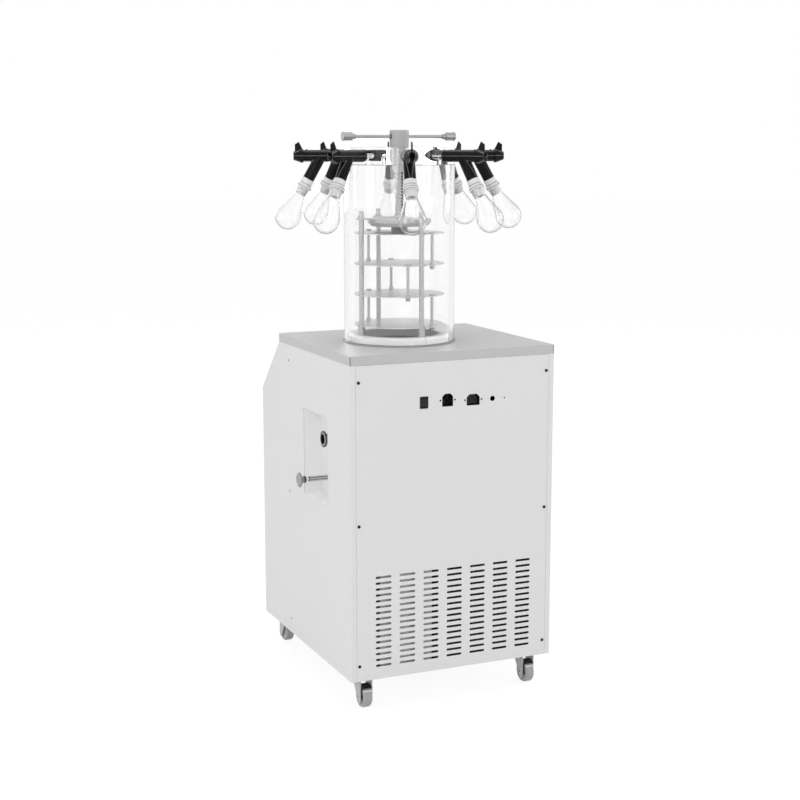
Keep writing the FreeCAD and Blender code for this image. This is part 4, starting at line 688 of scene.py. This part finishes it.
# Painted shade in the grooves and on the plug inside the neck; painted light on the plug's end.
ringed = stopper.blend(grooves, sleeve_tone, grey(0.42))
plug_tone = stopper.blend(plugged, ringed, grey(0.44))
end_tone = stopper.blend(plug_end, plug_tone, grey(0.62))
dressed(stopper.finished(stopper.shader(
    base_color=end_tone, roughness=0.42 + 0.1 * cloud,
    normal=bump(stopper, cloud - grooves, 0.00008, 0.4))), "stoppers")

# %% [markdown]
# The collar is turned from one thick plastic ring and split once so that it can be sprung into
# place. The joint is a hairline at one angle round the chamber's axis. The angle of a point comes
# from its X and Y by the Arctan2 operation, and a comparison turns the narrow band into a mask.

# %% Collar with its split
SPLIT_BEARING = math.radians(97.5)
SPLIT_HALF_WIDTH = 0.007

collar = Finish("collar_plastic")
across, along = round_chamber(collar)
split = (along.bearing(across) - SPLIT_BEARING).size() < SPLIT_HALF_WIDTH
turning = drawn_grain(collar, 700.0, (0.05, 0.05, 1.0))
cream = collar.blend(mottle(collar, 18.0), grey(0.76, 0.012), grey(0.84, 0.010))
split_cream = collar.blend(split, cream, grey(0.42, 0.02))
dressed(collar.finished(collar.shader(
    base_color=split_cream, roughness=0.40 + 0.1 * turning,
    normal=bump(collar, turning - split, 0.00005, 0.4))), "collar_ring")

# %% [markdown]
# ## Screws and machinery
# The screws are black zinc. The compressor is a pressing in gloss black enamel, and the condenser's
# fins are thin aluminium, dulled by dust. One helper covers all three: a speckle in the tone, and
# the same speckle in the roughness and the bump.

# %% Screws and machinery
def metal(name, level, roughness, metallic):
    """Coated or dull metal with a fine speckle."""
    finish = Finish(name)
    speck = mottle(finish, 200.0)
    tone = finish.blend(speck, grey(level * 0.8), grey(level * 1.1))
    return finish.finished(finish.shader(
        base_color=tone, metallic=metallic, roughness=roughness + 0.15 * (speck - 0.5),
        normal=bump(finish, speck, 0.00004, 0.3)))


dressed(metal("screw_black_zinc", 0.02, 0.35, 0.6), "panel_screws")
dressed(metal("compressor_enamel", 0.02, 0.22, 0.0), "compressor")
dressed(metal("fin_aluminium", 0.12, 0.6, 0.6), "condenser")

# %% [markdown]
# ## Vacuum port and drain
# The vacuum port and the drain point out of the recess along X, so what matters on them is how far
# along X a point lies and how far it is from the fitting's own axis.

# %% Places on a fitting
def on_axis(finish, axis_of, end_of):
    """How far a point lies behind the end of end_of, and its radius and angle round axis_of."""
    low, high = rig.box(axis_of)
    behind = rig.box(end_of)[1].x - finish.place("X")
    across = finish.place("Y") - (low.y + high.y) / 2
    above = finish.place("Z") - (low.z + high.z) / 2
    return behind, across.hypotenuse(above), above.bearing(across)


# %% [markdown]
# The port has a black seat in its face, a bright ring round the seat and a dark rim. Its neck shows
# the rings that turning left.

# %% Vacuum port
PORT_FACE = 0.0022
BRIGHT_RING = 0.0141
PORT_SEAT = 0.0130
NECK_RINGS = 1900.0

port = Finish("port_blackened")
behind, radius = on_axis(port, "vacuum_port", "vacuum_port")[:2]
speck = mottle(port, 240.0)
face = behind < PORT_FACE
neck_tone = port.blend((behind * NECK_RINGS).sine() * 0.5 + 0.5, grey(0.07), grey(0.20))
rim_tone = port.blend(face, neck_tone, grey(0.05))
ring_tone = port.blend(face & (radius < BRIGHT_RING), rim_tone, grey(0.80))
seat_tone = port.blend(radius < PORT_SEAT, ring_tone, grey(0.004))
dressed(port.finished(port.shader(
    base_color=seat_tone, metallic=0.25, roughness=0.34 + 0.1 * speck,
    normal=bump(port, speck, 0.00003, 0.3))), "vacuum_port")

# %% [markdown]
# The drain tube is drawn steel. Seven light and dark bands run along it, a painted reflection, and its mouth and its
# end are painted black, a painted shade in the mouth and in the gap at its end.

# %% Drain tube
REFLECTION_BANDS = 7.0
TUBE_LIP = 0.0006
MOUTH_DEPTH = 0.0040
MOUTH_RADIUS = 0.0046

tube = Finish("drain_tube_drawn")
behind, radius, angle = on_axis(tube, "drain_knob", "drain_valve")
# Painted reflection: light and dark bands round the tube.
painted_bands = (angle * REFLECTION_BANDS).sine() * 0.5 + 0.5
drawn_tone = tube.blend(painted_bands, grey(0.16), grey(0.62))
# Painted shade: the mouth and the end of the tube are black.
in_mouth = (behind < MOUTH_DEPTH) & (radius < MOUTH_RADIUS)
mouth_tone = tube.blend(in_mouth | (behind < TUBE_LIP), drawn_tone, grey(0.004))
dressed(tube.finished(tube.shader(
    base_color=mouth_tone, metallic=0.5, roughness=0.30 + 0.1 * mottle(tube, 240.0),
    normal=bump(tube, painted_bands, 0.00003, 0.3))), "drain_valve")

# %% [markdown]
# The tap has a moulded grey disc with a darker rear edge, a black neck with a pale waist, and a spindle that is
# painted bright, a painted highlight, and painted black where it goes into the tube, a painted shade inside it.

# %% Drain tap
DISC_EDGE = 0.0028
DISC_BACK = 0.0037
WAIST = 0.0096
WAIST_HALF_WIDTH = 0.0019
NECK_END = 0.0157

tap = Finish("drain_tap_grey")
behind = on_axis(tap, "drain_knob", "drain_knob")[0]
cloud = mottle(tap, 60.0)
neck_tone = tap.blend((behind - WAIST).size() < WAIST_HALF_WIDTH, grey(0.03), grey(0.42))
disc_tone = tap.blend(cloud, grey(0.26), grey(0.33))
edged_tone = tap.blend(behind > DISC_EDGE, disc_tone, grey(0.12))
disc_or_neck = tap.blend(behind > DISC_BACK, edged_tone, neck_tone)
in_tube = tap.place("X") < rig.box("drain_valve")[1].x
# Painted highlight on the spindle, painted shade inside the tube.
spindle_tone = tap.blend(in_tube, grey(0.80), grey(0.004))
tap_tone = tap.blend(behind > NECK_END, disc_or_neck, spindle_tone)
dressed(tap.finished(tap.shader(
    base_color=tap_tone, roughness=0.38 + 0.1 * cloud,
    normal=bump(tap, cloud, 0.00005, 0.4))), "drain_knob")

# %% [markdown]
# ## Touch screen
# The console carries a touch panel: dark glass with a satin bezel round it. Switched off, it is
# nearly black with a hard reflection. The bezel is told from the glass by the distance from the
# edges of the node's own box.

# %% Screen
SIDE_BEZEL = 0.012
END_BEZEL = 0.010

screen = Finish("touch_panel")
low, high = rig.box("touch_screen")
from_side = (high.x - low.x) / 2 - (screen.place("X") - (low.x + high.x) / 2).size()
from_top = high.z - screen.place("Z")
from_foot = screen.place("Z") - low.z
bezel = (from_side < SIDE_BEZEL) | (from_top < END_BEZEL) | (from_foot < END_BEZEL)
panel_tone = screen.blend(bezel, grey(0.008, -0.05), grey(0.035))
smudge = mottle(screen, 35.0)
dressed(screen.finished(screen.shader(
    base_color=panel_tone, roughness=0.08 + 0.06 * smudge + 0.3 * bezel)), "touch_screen")

# %% [markdown]
# ## Painted shade and highlight at the wheels
# Each caster gets thin sheets that stand in for the shade round its wheel. A thin hood bends over the wheel's top. It
# is painted black as shade, then grey, then bright at its lower edge, a painted highlight for the tread. A thin black
# sheet stands on each side between wheel and fork as painted shade. The hood is a curved strip with four corners to a
# ring, and a side sheet is a flat outline pushed out to its thickness.

# %% Strips, slabs and pieces
STRIP_STEPS = 14


def strip(shape, axle, radius, thickness, half_width, first, last, rearward):
    """A curved strip round the axle, between two angles above the horizontal."""
    corners = ((radius, -half_width), (radius + thickness, -half_width),
               (radius + thickness, half_width), (radius, half_width))
    rings = []
    for k in range(STRIP_STEPS + 1):
        turn = math.radians(first + (last - first) * k / STRIP_STEPS)
        along, up = rearward * math.cos(turn), math.sin(turn)
        rings.append([shape.verts.new(axle + Vector((x, r * along, r * up))) for r, x in corners])
    for ring, following in zip(rings, rings[1:]):
        for k in range(len(corners)):
            shape.faces.new((ring[k], ring[k - 1], following[k - 1], following[k]))
    shape.faces.new(rings[0])
    shape.faces.new(rings[-1][::-1])


def slab(shape, outline, thickness):
    """A flat plate: an outline at one X, pushed out along X."""
    sides = [[shape.verts.new(point + Vector((at, 0, 0))) for point in outline]
             for at in (0, thickness)]
    shape.faces.new(sides[0])
    shape.faces.new(sides[1][::-1])
    for k in range(len(outline)):
        shape.faces.new((sides[0][k], sides[0][k - 1], sides[1][k - 1], sides[1][k]))


def trim_piece(name, shape, material, body, slot):
    """Closes a bmesh into a named piece that rides on a body."""
    bmesh.ops.recalc_face_normals(shape, faces=shape.faces)
    mesh = bpy.data.meshes.new(name)
    shape.to_mesh(mesh)
    shape.free()
    mesh.materials.append(material)
    piece = bpy.data.objects.new(name, mesh)
    bpy.context.scene.collection.objects.link(piece)
    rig.ride(piece, body)
    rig.slot(piece, slot)
    print("piece:", name, "on", body)


# %% [markdown]
# The angle round the axle tells the painted highlight from the hood's painted black, with a painted grey band between
# them.

# %% Hood finish
HALF_SHADE_END = math.radians(52)
HIGHLIGHT_END = math.radians(44)

hood = Finish("wheel_hood")
outward, above = round_axle(hood)
turn = above.bearing(outward)
cloud = mottle(hood, 90.0)
# Painted shade on the hood, a painted grey band, and a painted highlight at its lower edge.
half_shade_tone = hood.blend(turn < HALF_SHADE_END, grey(0.012), grey(0.20))
highlight_tone = hood.blend(turn < HIGHLIGHT_END, half_shade_tone, grey(0.62))
hood_shade_and_highlight = hood.finished(hood.shader(
    base_color=highlight_tone, roughness=0.35 + 0.1 * cloud, specular_ior_level=0.3,
    normal=bump(hood, cloud, 0.00004, 0.3)))

# %% [markdown]
# The sheets stand inside the fork plates and swivel with the forks, so each rides on its caster's body. A side sheet's
# outline counts from the wheel's axle.

# %% Painted shade sheets for the four casters
HOOD_FROM = 33
HOOD_TO = 112
HOOD_GAP = 0.0004
HOOD_SHEET = 0.0008
FORK_PLATE = 0.0025
SHADE_SHEET = 0.0016
SHADE_SHEET_REAR = 0.0151
SHADE_SHEET_FOOT = 0.004
SHADE_SHEET_TOP = 0.023
SHADE_SHEET_FRONT = 0.008
for k in range(1, CASTERS + 1):
    low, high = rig.box("caster_wheel_%d" % k)
    fork_low, fork_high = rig.box("caster_fork_%d" % k)
    axle = (low + high) / 2
    over_wheel = (high.z - low.z) / 2 + HOOD_GAP
    fork_inside = (fork_high.x - fork_low.x) / 2 - FORK_PLATE
    rearward = 1 if axle.y > 0 else -1
    shape = bmesh.new()
    strip(shape, axle, over_wheel, HOOD_SHEET, fork_inside - SHADE_SHEET, HOOD_FROM, HOOD_TO, rearward)
    trim_piece("wheel_hood_%d" % k, shape, hood_shade_and_highlight, "caster_%d" % k, "caster_grey")
    shape = bmesh.new()
    for x in (-fork_inside, fork_inside - SHADE_SHEET):
        outline = [axle + Vector((x, rearward * y, z)) for y, z in
                   ((-SHADE_SHEET_FRONT, SHADE_SHEET_TOP), (SHADE_SHEET_REAR, SHADE_SHEET_TOP),
                    (SHADE_SHEET_REAR, -SHADE_SHEET_FOOT), (0, -SHADE_SHEET_FOOT))]
        slab(shape, outline, SHADE_SHEET)
    trim_piece("wheel_shields_%d" % k, shape, painted_shade_black, "caster_%d" % k, "caster_grey")

# %% [markdown]
# ## Stage, light and world
# The machine stands on a white floor in a white room. The room's light is even, so a colour comes
# out about as it was written. The kind of ray that asks decides what it gets: the eye and a glass
# see plain white, a mirror sees four soft boxes round the horizon, and the light that falls on
# surfaces is a steady, weaker white.

# %% World
AMBIENT = 0.62
BOXES = 4.0

world = bpy.data.worlds.new("white_room")
bpy.context.scene.world = world
world.use_nodes = True


class Room(Finish):
    """The same node maker, working on the world."""

    def __init__(self, world):
        self.tree = world.node_tree
        self.tree.nodes.clear()
        self.places = {}


def asked_by(finish):
    """Three masks: the ray comes from the eye, from a mirror, or through a glass."""
    rays = finish.node("ShaderNodeLightPath").socket.node
    return [Value(finish, rays.outputs["Is %s Ray" % kind])
            for kind in ("Camera", "Glossy", "Transmission")]


room = Room(world)
seen, mirrored, through = asked_by(room)
heading = room.node("ShaderNodeTexCoord", gives="Generated")
across = room.node("ShaderNodeSeparateXYZ", {}, {0: heading}, gives="X")
along = room.node("ShaderNodeSeparateXYZ", {}, {0: heading}, gives="Y")
soft_boxes = ((along.bearing(across) * BOXES).sine() * 0.5 + 0.5) ** 1.5
shine = 0.55 + 0.5 * soft_boxes
plain = seen | through
strength = (AMBIENT * (1 - mirrored) + shine * mirrored) * (1 - plain) + plain
light = room.node("ShaderNodeBackground", {}, {"Color": (1, 1, 1, 1), "Strength": strength})
room.node("ShaderNodeOutputWorld", {}, {"Surface": light})
print("world nodes:", len(world.node_tree.nodes))

# %% [markdown]
# The floor is a wide disc. Its own light makes it white to the eye, and a small share of ordinary
# diffuse surface is left in, so that the soft shadow under the cabinet still shows.

# %% Floor
FLOOR_RADIUS = 30.0

floor_finish = Finish("floor_white")
seen, mirrored, through = asked_by(floor_finish)
looked_at = seen | mirrored | through
glow = floor_finish.node("ShaderNodeEmission", {}, {"Strength": 0.90 * looked_at})
under = floor_finish.blend(looked_at, grey(0.86), grey(0.15))
matt = floor_finish.node("ShaderNodeBsdfDiffuse", {}, {"Color": under})
floor_white = floor_finish.finished(floor_finish.node("ShaderNodeAddShader", {}, {0: glow, 1: matt}))
shape = bmesh.new()
bmesh.ops.create_circle(shape, cap_ends=True, segments=96, radius=FLOOR_RADIUS)
mesh = bpy.data.meshes.new("floor")
shape.to_mesh(mesh)
shape.free()
mesh.materials.append(floor_white)
floor = bpy.data.objects.new("floor", mesh)
bpy.context.scene.collection.objects.link(floor)
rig.stage(floor)
print("floor radius:", FLOOR_RADIUS)

# %% [markdown]
# One soft lamp hangs overhead and five stand round the sides. They give each panel a gentle turn
# from light to shade, whichever way the machine is looked at.

# %% Lamps
AIM = (0, 0, 0.6)
STAND_HEIGHT = 1.9


def soft_lamp(name, place, size, power):
    """A round soft lamp that points at the middle of the machine."""
    lamp = bpy.data.lights.new(name, "AREA")
    lamp.shape = "DISK"
    lamp.size = size
    lamp.energy = power
    stand = bpy.data.objects.new(name, lamp)
    stand.location = place
    stand.rotation_euler = (Vector(AIM) - Vector(place)).to_track_quat("-Z", "Y").to_euler()
    bpy.context.scene.collection.objects.link(stand)
    print("lamp:", name, power, "W")


soft_lamp("overhead", (0.2, 0.2, 4.4), 2.4, 42)
for side, x, y, power in (("rear_right", 2.6, 3.8, 38), ("rear_left", -3.2, 3.4, 34),
                          ("recess_side", 4.4, 0.2, 34), ("console_side", 0.2, -4.4, 38),
                          ("plain_side", -4.4, -0.6, 38)):
    soft_lamp(side, (x, y, STAND_HEIGHT), 2.2, power)

# %% [markdown]
# ## Camera
# A long lens stands about 3.4 m away, about as high as the lid, and looks down by under ten
# degrees at the corner between the louvred back and the side with the service recess.

# %% Camera
LOOKS_DOWN = 9.609
LOOKS_ALONG = 156.104

lens = bpy.data.cameras.new("camera")
lens.sensor_width = 36.0
lens.lens = 68.41
lens.clip_end = 100.0
camera = bpy.data.objects.new("camera", lens)
camera.location = (1.36861, 3.12081, 1.20600)
camera.rotation_euler = (math.radians(90 - LOOKS_DOWN), 0.0, math.radians(LOOKS_ALONG))
bpy.context.scene.collection.objects.link(camera)
bpy.context.scene.camera = camera
bpy.context.scene.view_settings.view_transform = "Standard"
print("camera stands", round(math.hypot(*camera.location[:2]), 2), "m away")

# %% [markdown]
# ## Write down both sizes and finish
# The dressed model must be as large as the imported one, so both boxes are written down.

# %% Finish
json.dump({"cad": [list(corner) for corner in cad_box],
           "visual": [list(corner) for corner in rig.bounds()]}, open("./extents.json", "w"))
print(open("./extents.json").read())
